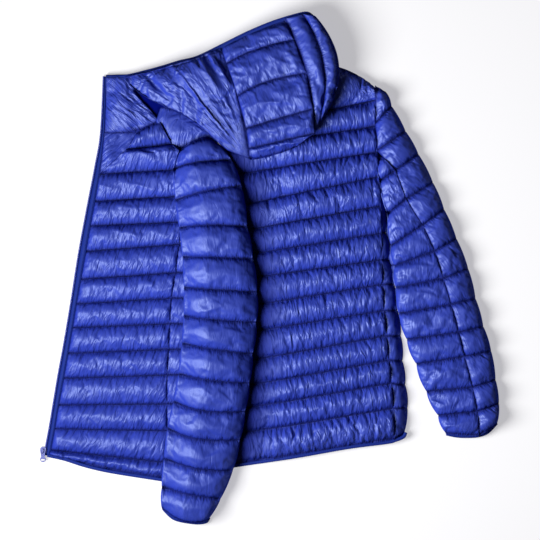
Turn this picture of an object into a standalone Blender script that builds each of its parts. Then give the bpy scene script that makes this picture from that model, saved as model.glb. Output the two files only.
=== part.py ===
"""A light hooded puffer jacket, laid flat with its back up and its left front opened out.

Tables are in millimetres, in the frame of the laid jacket: X to the right, Y towards the
hood, Z up from the surface it lies on.  Each quilted panel is one closed solid: rings
run across it, one along each quilting line and some between, with the puffs raised in the
outer points over a plain underside.
"""
import math

import bmesh
import bpy
from mathutils import Matrix, Vector

MM = 0.001

# ---- driving dimensions (mm) -------------------------------------------------------------
SEAM_GAP = 0.35            # between neighbouring pieces, and between layers
EDGE_ROUND = 14.0          # how far in from a seam a panel has its full height
SEAM_HEIGHT = 4.0          # thickness of a panel at its sewn edge
PUFF = 8.0                 # rise of a quilted channel over its stitch lines
CHANNEL_STEPS = (0.0, 0.15, 0.5, 0.85)    # rings in one channel, from line to line
GATHER_STEPS = tuple(k / 24 for k in range(24))    # rings of the smooth side of the hood
GATHER = 1.1               # height of a pucker beside a stitch line
RING_SIDE_POINTS = 3       # points at each side of a ring that stay free of puckers
LAYER = 8.0                # thickness of the front that is folded under the back
UNDER_EDGE = 0.45          # share of the back's width at which that front's zip edge lies
UNDER_RAMP = (UNDER_EDGE - 0.16, UNDER_EDGE - 0.05)    # where the back climbs over it
YOKE_CROWN = 5.0
COLLAR_PUFF = 4.0
COLLAR_CROWN = 4.0
SHOULDER_CROWN = 8.0
SMOOTH_ENDS = (0.12, 0.78)  # share of a smooth panel's rise at its foot, and the rest
# Right side strip: share of its width and height, from the side seam to the fold.
SIDE_PROFILE = ((0.0, 12.0), (0.25, 15.5), (0.55, 15.0), (0.85, 10.5), (1.0, 4.5))
SIDE_PUFFED = (1, 2)       # the points of that profile that rise in a puff
SIDE_PUFF = 4.0
SIDE_BULGE = 1.5
SIDE_FOOT = 0.72
LAID_SEAM = 1.5            # thickness at its seams of a panel that lies on another layer
LAID_PUFF = 6.0            # rise of such a panel's channels
LAID_BULGE = 2.0           # how far a sleeve's puffs stand out past its outline
ELBOW_BULGE = 1.0
SLEEVE_UNDER = 9.0         # thickness of a sleeve's under layer at its edges
SLEEVE_CROWN = 9.0
SLEEVE_FOOT_INSETS = (7.0, 6.0)    # how far the left and right sleeve's underside is drawn in
CUFF_START = 0.93          # share of a sleeve at which its crown sinks towards the cuff
CUFF_CROWN = 0.45          # share of the crown that is left there
CUFF_LEVEL = 0.55          # share of the under layer's thickness that is left there
HOOD_LEFT_HEIGHT = 6.0     # level between the hood's layers at its left end
HOOD_SLOPE = 0.085         # and its rise towards the right
HOOD_LEFT_X = -295.0
HOOD_CROWN = 17.0
HOOD_SIDE_PUFF = 5.0
HOOD_START = 0.15          # share of the crown at the hood's left end
HOOD_FLOOR = (0.0, 0.25, 0.5, 0.75, 1.0)    # points across the underside of its panels
HOOD_GAP = 0.6
SLEEVE_GAP = 1.0           # between the two layers of a sleeve
HOOD_BINDING_WIDTH = 4.7
BINDING_WIDTH = 5.6
BINDING_HEIGHT = 5.0
HOOD_BINDING_HALF = 3.0
BAND_CORNER = 0.28         # chamfer of a band, as a share of its width and height
HEM_RAMP = (-40.0, 80.0)   # where the back's hem climbs over the folded front, and how far
CUFF_MIDDLE = 5.2
CUFF_HALVES = (4.9, 1.6)   # half the height of a cuff's binding outside, and of its slit
CUFF_ENDS = (1.7, 0.15)    # how far those two reach past the ends of its route
CHAIN_WIDTH = 3.6
CHAIN_LEVELS = (1.8, 5.0)
TAPE_LEVELS = (2.6, 4.2)
TAPE_SHARE = 0.035         # width of the hidden tape, as a share of the back's width

PLAIN = "plain"            # marks a row that shapes the outline and has no stitching

# Quilting lines of the back, hem to shoulder: left end, right end.
BACK_ROWS = (
    ((-103, -355), (224, -300)),
    ((-103, -303), (223, -249)),
    ((-103, -260), (219, -204)),
    ((-103, -220), (215, -163)),
    ((-103, -176), (210, -119)),
    ((-103, -123), (206, -74)),
    ((-103, -76), (204, -27)),
    ((-103, -25), (202, 17)),
    ((-103, 16), (202, 65)),
    ((-103, 59), (201, 114)),
    ((-45, 116), (197, 166)),
    ((-58, 171), (194, 210)),
    ((-81, 215), (190, 256)),
    ((-99, 240), (188, 303)),
    ((-112, 297), (56, 365), (190, 325)),
)
# The strip that turns over the right side: side seam, outer edge.
SIDE_RIGHT_ROWS = (
    ((224, -300), (241, -294)),
    ((223, -249), (248, -250)),
    ((219, -204), (244, -208)),
    ((215, -163), (239, -165)),
    ((210, -119), (236, -120)),
    ((206, -74), (230, -74)),
    ((204, -27), (224, -27)),
    ((202, 17), (216, 16)),
    ((202, 65), (209, 65)),
    ((201, 100), (205, 99)),
)
# Quilting lines of the left front, hem to neck: zip side, pocket seam or armhole.
FRONT_ROWS = (
    ((-391, -332), (-292, -358), (-190, -375)),
    ((-391, -325), (-186, -347)),
    ((-384, -287), (-183, -290)),
    ((-377, -244), (-183, -242)),
    ((-368, -196), (-183, -190)),
    ((-360, -151), (-180, -144)),
    ((-352, -105), (-178, -98)),
    ((-345, -62), (-175, -52)),
    ((-337, -18), (-168, -6)),
    ((-328, 32), (-161, 45)),
    ((-320, 78), (-159, 85)),
    ((-312, 122), (-166, 131)),
    ((-302, 170), (-168.5, 179)),
    ((-262, 204), (-162, 211), PLAIN),
    ((-253, 212), (-175, 224)),
    ((-237, 238), (-219, 250), (-199, 262)),
)
# The left side strip, from the pocket seam to the side seam, hem to armpit.
SIDE_LEFT_ROWS = (
    ((-189, -373), (-104, -358)),
    ((-185.5, -347), (-104, -335)),
    ((-183, -290), (-104, -290)),
    ((-183, -242), (-104, -242)),
    ((-183, -190), (-104, -190)),
    ((-180, -144), (-104, -144)),
    ((-178, -98), (-104, -98)),
    ((-175, -52), (-104, -52)),
    ((-168, -6), (-104, -6)),
    ((-161, 45), (-104, 45)),
)
YOKE_ROWS = (
    ((-299, 178), (-293, 179)),
    ((-300, 194), (-274, 196), PLAIN),
    ((-298, 220), (-251, 221), PLAIN),
    ((-295, 243.8), (-236, 243.4)),
)
COLLAR_ROWS = (
    ((-295, 245.3), (-246, 247.2), (-201, 266)),
    ((-294, 272), (-217, 282)),
    ((-293, 293), (-232, 297)),
    ((-292, 317), (-245, 315)),
    ((-292, 342.5), (-253, 342.5)),
)
SHOULDER_ROWS = (
    ((-161, 211), (-136, 228), (-103, 237)),
    ((-183.5, 239), (-149, 247), (-104, 241), PLAIN),
    ((-196, 266), (-164, 266), (-110, 247), PLAIN),
    ((-189, 283), (-150, 269), (-114, 248.5)),
)
# Left sleeve, shoulder to cuff: left edge, middle, right edge.
SLEEVE_LEFT_ROWS = (
    ((-161, 209), (-136, 225), (-102, 235)),
    ((-171, 178), (-133, 189), (-68, 194)),
    ((-166, 123), (-113, 138), (-50, 148)),
    ((-159, 73), (-107, 78), (-40, 75)),
    ((-153, 21), (-104, 21), (-30, 18)),
    ((-151, -33), (-105, -36), (-23, -41)),
    ((-151, -83), (-106, -89), (-24, -95)),
    ((-154, -133), (-99, -142), (-30, -151)),
    ((-160, -187), (-106, -197), (-36, -203)),
    ((-169, -236), (-117, -251), (-44, -254)),
    ((-180, -284), (-127, -301), (-53, -304)),
    ((-186, -338), (-126, -354), (-65, -358)),
    ((-190, -389), (-141, -400), (-87, -409)),
    ((-190, -427), (-140, -447), (-108, -443)),
)
# The height that each of those lines rests at: left edge, right edge.
SLEEVE_LEFT_RESTS = (
    (0, 0), (0, 4), (4, 13.2), (9, 13.2), (13.2, 13.2), (13.2, 13.2), (13.2, 13.2),
    (13.2, 13.2), (13.2, 13.2), (13.2, 13.2), (13.2, 13.2), (13.2, 13.2), (11, 11), (0, 0),
)
# Right sleeve, shoulder to cuff: inner edge, elbow seam, outer edge.
SLEEVE_RIGHT_ROWS = (
    ((190.7, 323), (198, 322), (209, 315)),
    ((190.2, 260), (205, 274), (219, 291)),
    ((194.2, 212), (218, 229), (244, 246)),
    ((198, 157), (225, 175), (267, 205)),
    ((213, 99), (244, 124), (293, 154)),
    ((220, 42), (274, 78), (313, 106)),
    ((226, 6), (296, 32), (335, 54)),
    ((230, -33), (311, -17), (356, 0)),
    ((235, -80), (325, -63), (369, -53)),
    ((248, -126), (339, -113), (383, -103)),
    ((265, -170), (349, -156), (397, -147)),
    ((283, -219), (363, -211), (405, -199)),
    ((304, -262), (372, -254), (411, -241)),
    ((316.5, -291.8), (375, -294.8), (406, -272.8)),
)
SLEEVE_CHANNELS = len(SLEEVE_RIGHT_ROWS) - 1
FOLDED_ROWS = 13           # lines of the back that lie over the folded front
ZIP_ROWS = 13              # lines of the left front that end at the zip
SEAM_FIRST_ROW = 3         # the elbow seam leaves the armhole just above this line
SEAM_START = ((195.6, 196), (204, 197))
# Gather lines of the hood's left side: face edge, middle, folded edge.
HOOD_LEFT_ROWS = (
    ((-254, 344), (-251, 337), (-248, 329)),
    ((-219, 349.5), (-227, 333), (-234, 317), PLAIN),
    ((-188, 358), (-200, 329), (-211, 302), PLAIN),
    ((-161, 366), (-173, 328), (-185, 290), PLAIN),
    ((-142, 371), (-148, 325), (-157, 280), PLAIN),
    ((-124, 376), (-125, 322), (-127, 262), PLAIN),
    ((-110, 383), (-103, 317), (-101, 238), PLAIN),
    ((-96, 389.5), (-79, 310), (-74, 212), PLAIN),
    ((-86, 394.5), (-57, 305), (-34, 196)),
)
HOOD_CENTRE_ROWS = (
    ((-86, 394.5), (-27, 422), (29, 441)),
    ((-75, 363), (-27, 386), (44, 404)),
    ((-55, 305), (-6, 329), (66, 344)),
    ((-40, 248), (12, 263), (77, 281)),
    ((-35, 213), (23, 226), (80, 239)),
    ((-34, 196), (6, 203), (52, 219)),
)
HOOD_RIGHT_ROWS = (
    ((80, 239), (66, 344), (29, 441)),
    ((93, 280), (93, 365), (63, 445)),
    ((96, 272), (119, 356), (74, 447)),
)
# The hood's hidden layers: face edge, the body's neck line under it, folded edge, foot.
HOOD_UNDER_ROWS = (
    ((-247, 344.5), (-247, 337), (-245, 330), (-246.5, 328)),
    ((-219, 349.5), (-233, 321), (-234, 317), (-238.5, 309)),
    ((-188, 358), (-210, 306), (-211, 302), (-223.5, 290.5)),
    ((-175, 361), (-198, 300), (-199, 296), (-202.4, 268.5)),
    ((-161, 366), (-184, 296), (-185, 291), (-191, 286)),
    ((-142, 370.3), (-157, 288), (-157.5, 282), (-160.5, 280)),
    ((-110, 382.3), (-110, 309), (-101, 238), (-102, 242)),
    ((-86, 394.5), (-74, 338), (-43, 200), (-44, 205)),
    ((-39, 417), (-24, 361), (5, 203), (4, 209)),
    ((6, 435), (20, 372), (50, 220), (49, 226)),
    ((50, 447), (59, 374), (79, 240), (77, 246)),
    ((93, 434), (94, 370), (95, 277), (94, 283)),
)
HOOD_OVER_LAYER = 7        # rows after this one lie over the folded front as well
HOOD_RESTS = (13.2, 21.4)  # heights of the back under the hood, without and with it
HOOD_HOLLOW = 3.0          # height of the deep fold beside the collar
HOOD_FOOT_SHARES = (0.5, 0.02)    # where its underside starts, past the body and over it
HOOD_FACE_SHARE = 0.15
HOOD_UNDER_SHOULDER = 6    # rows before this one lie past the body, on the surface
HOOD_EDGE = (
    (-291, 348), (-256, 349), (-219, 357), (-188, 365), (-161, 373), (-128, 381),
    (-83, 402), (-39, 423), (6, 441), (51, 454), (69, 456), (80, 449),
)
ZIP_EDGE = (
    (-299, 346), (-304, 245), (-314, 185), (-329, 108), (-344, 27), (-357, -56),
    (-371, -139), (-381, -193), (-395, -277), (-402.5, -318), (-403.5, -331.5),
)
HEM_LEFT = (
    (-399, -338), (-368, -345), (-337, -355), (-306, -363), (-269, -370), (-192, -382),
)
HEM_BACK = (
    (-103, -364), (-68, -358), (50, -339), (141, -323), (210, -314), (227, -310),
    (243, -303), (248, -294),
)
CUFF_LEFT = ((-190, -434), (-171, -450), (-135, -456), (-113, -455), (-106, -449))
CUFF_RIGHT = ((319, -299), (335, -303), (352, -304), (376, -302), (394, -296), (410, -279))

# Slider and pull tab, in their own frame: X across, Y along the zip, Z up.
SLIDER_AT = (-405.5, -326.0)
SLIDER_LENGTH = 13.0
SLIDER_WIDTH = 10.5
SLIDER_END_WIDTH = 6.5
SLIDER_STATIONS = (-0.5, -0.42, -0.1, 0.25, 0.42, 0.5)    # shares of its length
SLIDER_TAPER = 0.25        # share of its length over which each end narrows
SLIDER_PLATE = 1.4
SLIDER_LEVELS = (0.0, 6.8)
SLIDER_WEB = (-1.6, 1.2)
BRIDGE_WIDTH = 2.2
BRIDGE_LENGTH = 7.4
BRIDGE_HEIGHT = 3.9
BRIDGE_WALL = 1.2
BRIDGE_ROUND = 1.2
BRIDGE_INNER_ROUND = 0.5
BRIDGE_SINK = 0.5          # how far the bridge goes into the top plate
HINGE_HEIGHT = 1.35        # above the slider's top plate
PULL_WIDTH = 11.0
PULL_NECK = 7.2
PULL_LENGTH = 21.0
PULL_THICKNESS = 1.4
WINDOW = (4.0, 5.6)        # across, along: it swings clear of the bridge
SLOT = (7.6, 3.2)
SLOT_FROM_TIP = 3.9
PULL_WAIST = ((0.3, -5.6), (-0.2, -11.0))    # change of half width, and place along it
PULL_ROUND = 5.5
PULL_ARC = 8
CUTTER_HALF = 3.0
PULL_BEVEL = 0.25
PULL_BEVEL_ANGLE = 50


# ---- materials ---------------------------------------------------------------------------
FINISHES = {
    "shell_fabric": ((0.028, 0.075, 0.52, 1), 0.38, 0.0),
    "binding_tape": ((0.022, 0.060, 0.46, 1), 0.55, 0.0),
    "zip_plastic": ((0.025, 0.068, 0.50, 1), 0.40, 0.0),
    "slider_enamel": ((0.025, 0.070, 0.50, 1), 0.30, 0.6),
}


def finish(name, colour, roughness, metallic):
    material = bpy.data.materials.new(name)
    material.use_nodes = True
    shader = material.node_tree.nodes["Principled BSDF"]
    shader.inputs["Base Color"].default_value = colour
    shader.inputs["Roughness"].default_value = roughness
    shader.inputs["Metallic"].default_value = metallic
    return material


def clear_scene():
    for old in list(bpy.data.objects):
        bpy.data.objects.remove(old)


def make_object(name, mesh, material):
    data = bpy.data.meshes.new(name)
    bmesh.ops.recalc_face_normals(mesh, faces=mesh.faces)
    mesh.to_mesh(data)
    mesh.free()
    data.materials.append(material)
    piece = bpy.data.objects.new(name, data)
    bpy.context.scene.collection.objects.link(piece)
    return piece


# ---- curves and heights ------------------------------------------------------------------
def mix(a, b, t):
    return tuple(p + (q - p) * t for p, q in zip(a, b))


def along(row, s):
    """The point at share s of a row of two points, or of a smooth curve through three."""
    if len(row) == 2:
        return mix(row[0], row[1], s)
    weights = ((1 - s) * (1 - 2 * s), 4 * s * (1 - s), s * (2 * s - 1))
    return tuple(sum(w * p[i] for w, p in zip(weights, row)) for i in range(2))


def cut_row(row, first, last):
    """The stretch of a row between two shares of its width, as three points."""
    return tuple(along(row, s) for s in (first, (first + last) / 2, last))


def dome(share, power=0.7):
    return max(0.0, math.sin(math.pi * share)) ** power


def side_round(share, width):
    """1 inside a panel, falling in a quarter round to 0 at its two sides."""
    edge = min(share, 1 - share) * width / EDGE_ROUND
    return 1.0 if edge >= 1 else math.sqrt(1 - (1 - edge) ** 2)


def width_of(row):
    (x0, y0), (x1, y1) = row[0], row[-1]
    return math.hypot(x1 - x0, y1 - y0)


def clamp(value):
    return min(1.0, max(0.0, value))


def flat(z):
    """A level that is the same everywhere."""
    return lambda *place: z


def shares(count, edge=0.03):
    """Places across a panel: close together at both sides, even between."""
    inner = [edge * 2.5 + (1 - edge * 5) * i / (count - 1) for i in range(count)]
    return [0.0, edge] + inner + [1 - edge, 1.0]


def inset(row, gap):
    """A row with both ends drawn in by a gap, so that it stays clear of its seams."""
    share = gap / width_of(row)
    return cut_row(row, share, 1 - share)


def hood_level(x):
    return HOOD_LEFT_HEIGHT + HOOD_SLOPE * (x - HOOD_LEFT_X)


# ---- solids ------------------------------------------------------------------------------
def cap(mesh, loop, top_count):
    """Closes an end ring with a strip between its top points and its bottom points."""
    top, bottom = loop[:top_count], loop[:top_count - 1:-1]
    i = j = 0
    while i < len(top) - 1 or j < len(bottom) - 1:
        top_next = (i + 1) / (len(top) - 1) if i < len(top) - 1 else 2.0
        bottom_next = (j + 1) / (len(bottom) - 1) if j < len(bottom) - 1 else 2.0
        if top_next <= bottom_next:
            mesh.faces.new((top[i], top[i + 1], bottom[j]))
            i += 1
        else:
            mesh.faces.new((top[i], bottom[j + 1], bottom[j]))
            j += 1


def loft(name, rings, material, closed=False, top_count=0):
    """A closed solid through rings of equally many points.

    A ring lists its top points and then its bottom points, the other way across."""
    mesh = bmesh.new()
    loops = [[mesh.verts.new(Vector(p) * MM) for p in ring] for ring in rings]
    pairs = list(zip(loops, loops[1:]))
    if closed:
        pairs.append((loops[-1], loops[0]))
    elif top_count:
        cap(mesh, loops[0], top_count)
        cap(mesh, loops[-1], top_count)
    else:
        mesh.faces.new(loops[0])
        mesh.faces.new(loops[-1])
    for lower, upper in pairs:
        for i in range(len(lower)):
            j = (i + 1) % len(lower)
            mesh.faces.new((lower[i], lower[j], upper[j], upper[i]))
    return make_object(name, mesh, material)


def channel_rows(rows, steps):
    """Each ring's row, its share of its own channel and of the whole panel."""
    result = []
    channels = len(rows) - 1
    curves = [cut_row([p for p in row if p != PLAIN], 0, 1) for row in rows]
    stitched = [k for k, row in enumerate(rows) if row[-1] != PLAIN]
    for first, last in zip(stitched, stitched[1:]):
        corners = [(k - first) / (last - first) for k in range(first + 1, last)]
        for t in sorted({*steps, *corners}):
            place = first + t * (last - first)
            k = min(int(place), last - 1)
            row = tuple(mix(p, q, place - k) for p, q in zip(curves[k], curves[k + 1]))
            result.append((row, place, t, place / channels))
    result.append((curves[-1], channels, 0.0, 1.0))
    return result


def end_gap(ring_rows, gap):
    """Draws the first and last rows in, along the panel, by a gap."""
    for end, inner in ((0, 1), (-1, -2)):
        row, k, t, whole = ring_rows[end]
        toward = ring_rows[inner][0]
        distance = max(math.dist(row[1], toward[1]), gap)
        moved = tuple(mix(p, q, min(0.5, gap / distance)) for p, q in zip(row, toward))
        ring_rows[end] = (moved, k, t, whole)
    return ring_rows


def panel(name, rows, columns, material, base=None, crown=None, puff=PUFF, gathers=True,
          bulge=(0.0, 0.0), under=(0.0, 1.0), under_inset=0.0, steps=CHANNEL_STEPS, gap=SEAM_GAP,
          seam=SEAM_HEIGHT, edge=0.03):
    """A quilted panel: base(s, place) is its underside, crown(s, whole) its overall rise."""
    base = base or flat(0.0)
    crown = crown or flat(0.0)
    rings = []
    across = shares(columns, edge)
    for row, place, t, whole in end_gap(channel_rows(rows, steps), gap):
        row = inset(row, gap)
        width = width_of(row)
        swell = [side * dome(t) / width for side in bulge]
        ring = []
        for i, s in enumerate(across):
            x, y = along(row, s - swell[0] * (1 - s) + swell[1] * s)
            pucker = 0.0
            if gathers and t > 0 and RING_SIDE_POINTS <= i < len(across) - RING_SIDE_POINTS:
                pucker = GATHER * (1 if i % 2 else -1) * (0.5 if t == 0.5 else 1.0)
            lift = (puff * dome(t, 0.8) + pucker) * side_round(s, width)
            ring.append((x, y, base(s, place) + seam + crown(s, whole) + lift))
        for s in reversed(under):
            x, y = along(row, s + under_inset / width * (1 - 2 * s))
            ring.append((x, y, base(s, place)))
        rings.append(ring)
    return loft(name, rings, material, top_count=len(across))


def slab(name, rows, material, low, high, foot_inset=0.0, gap=SEAM_GAP, steps=(0.0,)):
    """A plain under layer: low(s, place) and high(s, place) give its two faces."""
    rings = []
    for row, place, _, _ in end_gap(channel_rows(rows, steps), gap):
        row = inset(row, gap)
        width = width_of(row)
        ring = [(*along(row, s), high(s, place)) for s in (0.0, 1.0)]
        for s in (1.0, 0.0):
            x, y = along(row, s + foot_inset / width * (1 - 2 * s))
            ring.append((x, y, low(s, place)))
        rings.append(ring)
    return loft(name, rings, material)


def side_of(points, i):
    """The unit vector to the left of a route at its point i."""
    before, after = points[max(i - 1, 0)], points[min(i + 1, len(points) - 1)]
    dx, dy = after[0] - before[0], after[1] - before[1]
    length = math.hypot(dx, dy)
    return -dy / length, dx / length


def smooth_route(points, parts):
    """Points on a smooth curve through a route's own points."""
    result = []
    last = len(points) - 1
    for i in range(last):
        a, b = points[max(i - 1, 0)], points[i]
        c, d = points[i + 1], points[min(i + 2, last)]
        for k in range(parts):
            t = k / parts
            result.append(tuple(
                0.5 * (2 * q + (r - p) * t + (2 * p - 5 * q + 4 * r - s) * t ** 2
                       + (3 * q - 3 * r + s - p) * t ** 3)
                for p, q, r, s in zip(a, b, c, d)))
    result.append(points[-1])
    return result


def band(name, route, near, far, low, high, material, side=1):
    """A strip beside a route: near and far are its edges' distances from the route.

    low and high are functions of x; the far and near edges are chamfered."""
    rings = []
    cut, rest = BAND_CORNER, 1 - BAND_CORNER
    section = ((0, cut), (0, rest), (cut, 1), (rest, 1), (1, rest), (1, cut), (rest, 0), (cut, 0))
    for i, (x, y) in enumerate(route):
        nx, ny = side_of(route, i)
        ring = []
        for share, level in section:
            offset = side * (near + (far - near) * share)
            z = low(x) + (high(x) - low(x)) * level
            ring.append((x + nx * offset, y + ny * offset, z))
        rings.append(ring)
    return loft(name, rings, material)


def cuff(name, route, material):
    """The elastic binding of a flattened cuff: a closed band round a narrow slit."""
    ends = []
    for end, inner in ((-1, -2), (0, 1)):
        dx, dy = route[end][0] - route[inner][0], route[end][1] - route[inner][1]
        length = math.hypot(dx, dy)
        ends.append((dx / length, dy / length))
    rings = []
    last = len(route) - 1
    stations = [(i, 1) for i in range(last + 1)] + [(last, 0)]
    stations += [(i, -1) for i in range(last, -1, -1)] + [(0, 0)]
    for i, face in stations:
        nx, ny = side_of(route, i)
        ring = []
        for half, reach, span in zip(CUFF_HALVES, CUFF_ENDS, ((0.0, 1.0), (1.0, 0.0))):
            x, y, z = *route[i], CUFF_MIDDLE + face * half
            if face == 0:
                ex, ey = ends[0 if i else 1]
                x, y = x + ex * reach, y + ey * reach
            for share in span:
                reach_in = share * BINDING_WIDTH
                ring.append((x + nx * reach_in, y + ny * reach_in, z))
        rings.append(ring)
    return loft(name, rings, material, closed=True)


# ---- the body ----------------------------------------------------------------------------
def back_base(s, place):
    """The back's underside, which climbs from the surface onto the folded front."""
    start, end = UNDER_RAMP
    return (LAYER + SEAM_GAP) * clamp((s - start) / (end - start))


def smooth_crown(height):
    """The rise of a small panel without quilting."""
    foot, rest = SMOOTH_ENDS
    return lambda s, whole: height * dome(s) * dome(foot + rest * whole)


def build_body(cloth):
    panel("back", BACK_ROWS, 19, cloth, base=back_base, under=(0.0, *UNDER_RAMP, 1.0),
          edge=0.012)
    panel("front_left", FRONT_ROWS, 9, cloth, edge=0.02, under=(0.0, 0.5, 1.0))
    panel("side_left", SIDE_LEFT_ROWS, 3, cloth, gathers=False, edge=0.05)
    panel("yoke_left", YOKE_ROWS, 3, cloth, gathers=False, puff=0.0, edge=0.05,
          crown=smooth_crown(YOKE_CROWN))
    panel("collar_left", COLLAR_ROWS, 4, cloth, gathers=False, puff=COLLAR_PUFF, edge=0.05,
          crown=lambda s, whole: COLLAR_CROWN * dome(s))
    panel("shoulder_left", SHOULDER_ROWS, 4, cloth, gathers=False, puff=0.0, edge=0.05,
          crown=smooth_crown(SHOULDER_CROWN))
    under_rows = [cut_row(row, UNDER_EDGE, 1.0) for row in BACK_ROWS[:FOLDED_ROWS]]
    slab("front_right", under_rows, cloth, low=flat(0.0), high=flat(LAYER))
    build_side_right(cloth)


def build_side_right(cloth):
    """The quilted strip between the right side seam and the fold."""
    rings = []
    for row, _, t, _ in end_gap(channel_rows(SIDE_RIGHT_ROWS, CHANNEL_STEPS), SEAM_GAP):
        row = inset(row, SEAM_GAP)
        reach = SIDE_BULGE * dome(t) / width_of(row)
        ring = [(*along(row, s * (1 + reach)), z + SIDE_PUFF * dome(t) * (i in SIDE_PUFFED))
                for i, (s, z) in enumerate(SIDE_PROFILE)]
        ring += [(*along(row, SIDE_FOOT), 0.0), (*along(row, 0.0), 0.0)]
        rings.append(ring)
    loft("side_right", rings, cloth)


# ---- the sleeves -------------------------------------------------------------------------
def sleeve_crown(s, whole):
    sunk = (1 - CUFF_CROWN) * clamp((whole - CUFF_START) / (1 - CUFF_START))
    return SLEEVE_CROWN * (1 - sunk) * dome(0.02 + 0.96 * s, 0.55)


def sleeve_level(place):
    """The top of a sleeve's under layer over its underside, thinner in the last channel."""
    return SLEEVE_UNDER * (1 - (1 - CUFF_LEVEL) * clamp(place - SLEEVE_CHANNELS + 1))


def left_rest(s, place):
    """The height that the left sleeve rests at, over the body's panels."""
    k = min(int(place), len(SLEEVE_LEFT_RESTS) - 2)
    left, right = mix(SLEEVE_LEFT_RESTS[k], SLEEVE_LEFT_RESTS[k + 1], place - k)
    return left + (right - left) * s


def left_level(s, place):
    return left_rest(s, place) + sleeve_level(place)


def right_level(s, place):
    return sleeve_level(place)


def build_left_sleeve(cloth):
    rows = [inset(row, SEAM_GAP) for row in SLEEVE_LEFT_ROWS]
    slab("sleeve_left_under", rows, cloth, low=left_rest, high=left_level,
         foot_inset=SLEEVE_FOOT_INSETS[0], steps=CHANNEL_STEPS)
    panel("sleeve_left_top", rows, 8, cloth, base=lambda s, p: left_level(s, p) + SLEEVE_GAP,
          crown=sleeve_crown, puff=LAID_PUFF, bulge=(LAID_BULGE, LAID_BULGE), gathers=False,
          seam=LAID_SEAM, edge=0.02)


def outer_crown(s, whole):
    """The crown of the outer piece, which is the whole sleeve above the elbow seam."""
    share = s if whole < SEAM_FIRST_ROW / SLEEVE_CHANNELS else 0.5 + s / 2
    return sleeve_crown(share, whole)


def build_right_sleeve(cloth):
    slab("sleeve_right_under", SLEEVE_RIGHT_ROWS, cloth, low=flat(0.0), high=right_level,
         foot_inset=SLEEVE_FOOT_INSETS[1])
    outer, inner = [], [SEAM_START]
    for k, (left, seam, right) in enumerate(SLEEVE_RIGHT_ROWS):
        if k < SEAM_FIRST_ROW:
            outer.append((left, right))
        else:
            outer.append((seam, right))
            inner.append((left, seam))
    skipped = SEAM_FIRST_ROW - 1
    panel("sleeve_right_outer", outer, 5, cloth, puff=LAID_PUFF, gathers=False,
          base=lambda s, p: sleeve_level(p) + SLEEVE_GAP, crown=outer_crown,
          bulge=(0.0, LAID_BULGE), seam=LAID_SEAM, edge=0.04)
    panel("sleeve_right_inner", inner, 5, cloth, puff=LAID_PUFF, gathers=False,
          base=lambda s, p: sleeve_level(p + skipped) + SLEEVE_GAP,
          crown=lambda s, whole: sleeve_crown(s / 2, whole),
          bulge=(ELBOW_BULGE, 0.0), seam=LAID_SEAM, edge=0.04)


# ---- the hood ----------------------------------------------------------------------------
def on_hood(rows):
    """The underside of a hood panel, just above the hidden layers."""
    curves = [cut_row([p for p in row if p != PLAIN], 0, 1) for row in rows]

    def base(s, place):
        k = min(int(place), len(rows) - 2)
        row = tuple(mix(p, q, place - k) for p, q in zip(curves[k], curves[k + 1]))
        return hood_level(along(row, s)[0]) + HOOD_GAP
    return base


def build_hood_under(cloth):
    rings = []
    for k, (face, neck, fold, foot) in enumerate(HOOD_UNDER_ROWS):
        past_body = k < HOOD_UNDER_SHOULDER
        inner = mix(neck, fold, HOOD_FOOT_SHARES[0 if past_body else 1])
        clear = 0.0 if past_body else HOOD_RESTS[k > HOOD_OVER_LAYER]
        foot_level = HOOD_HOLLOW if past_body else clear + SEAM_HEIGHT
        ring = [(*face, hood_level(face[0])), (*fold, hood_level(fold[0])),
                (*foot, foot_level), (*foot, clear), (*inner, clear), (*neck, 0.0),
                (*mix(face, neck, HOOD_FACE_SHARE), 0.0)]
        rings.append(ring)
    loft("hood_under", rings, cloth)


def left_hood_crown(s, whole):
    return HOOD_CROWN * (HOOD_START + (1 - HOOD_START) * whole) * dome(s, 0.6)


def centre_hood_crown(s, whole):
    return HOOD_CROWN * dome(whole, 0.6)


def right_hood_crown(s, whole):
    return HOOD_CROWN * dome(s, 0.6) * (1 - whole ** 3)


def build_hood(cloth):
    build_hood_under(cloth)
    for name, rows, columns, puff, crown, steps in (
            ("hood_left", HOOD_LEFT_ROWS, 6, HOOD_SIDE_PUFF, left_hood_crown, GATHER_STEPS),
            ("hood_centre", HOOD_CENTRE_ROWS, 7, LAID_PUFF, centre_hood_crown, CHANNEL_STEPS),
            ("hood_right", HOOD_RIGHT_ROWS, 6, HOOD_SIDE_PUFF, right_hood_crown,
             CHANNEL_STEPS)):
        panel(name, rows, columns, cloth, base=on_hood(rows), crown=crown, puff=puff,
              gathers=False, seam=LAID_SEAM, under=HOOD_FLOOR, gap=HOOD_GAP, steps=steps)


# ---- bindings and zip --------------------------------------------------------------------
def hem_low(x):
    """The underside of the back's hem binding, which climbs onto the folded front."""
    start, span = HEM_RAMP
    return (LAYER + SEAM_GAP) * clamp((x - start) / span)


def build_bindings(tape):
    band("hood_binding", smooth_route(HOOD_EDGE, 2), 0.0, HOOD_BINDING_WIDTH,
         lambda x: hood_level(x) - HOOD_BINDING_HALF,
         lambda x: hood_level(x) + HOOD_BINDING_HALF, tape, side=-1)
    band("hem_binding_left", smooth_route(HEM_LEFT, 2), 0.0, BINDING_WIDTH, flat(0.0),
         flat(BINDING_HEIGHT), tape)
    band("hem_binding_back", smooth_route(HEM_BACK, 2), 0.0, BINDING_WIDTH, hem_low,
         lambda x: hem_low(x) + BINDING_HEIGHT, tape)
    cuff("cuff_binding_left", smooth_route(CUFF_LEFT, 2), tape)
    cuff("cuff_binding_right", smooth_route(CUFF_RIGHT, 2), tape)


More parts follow.
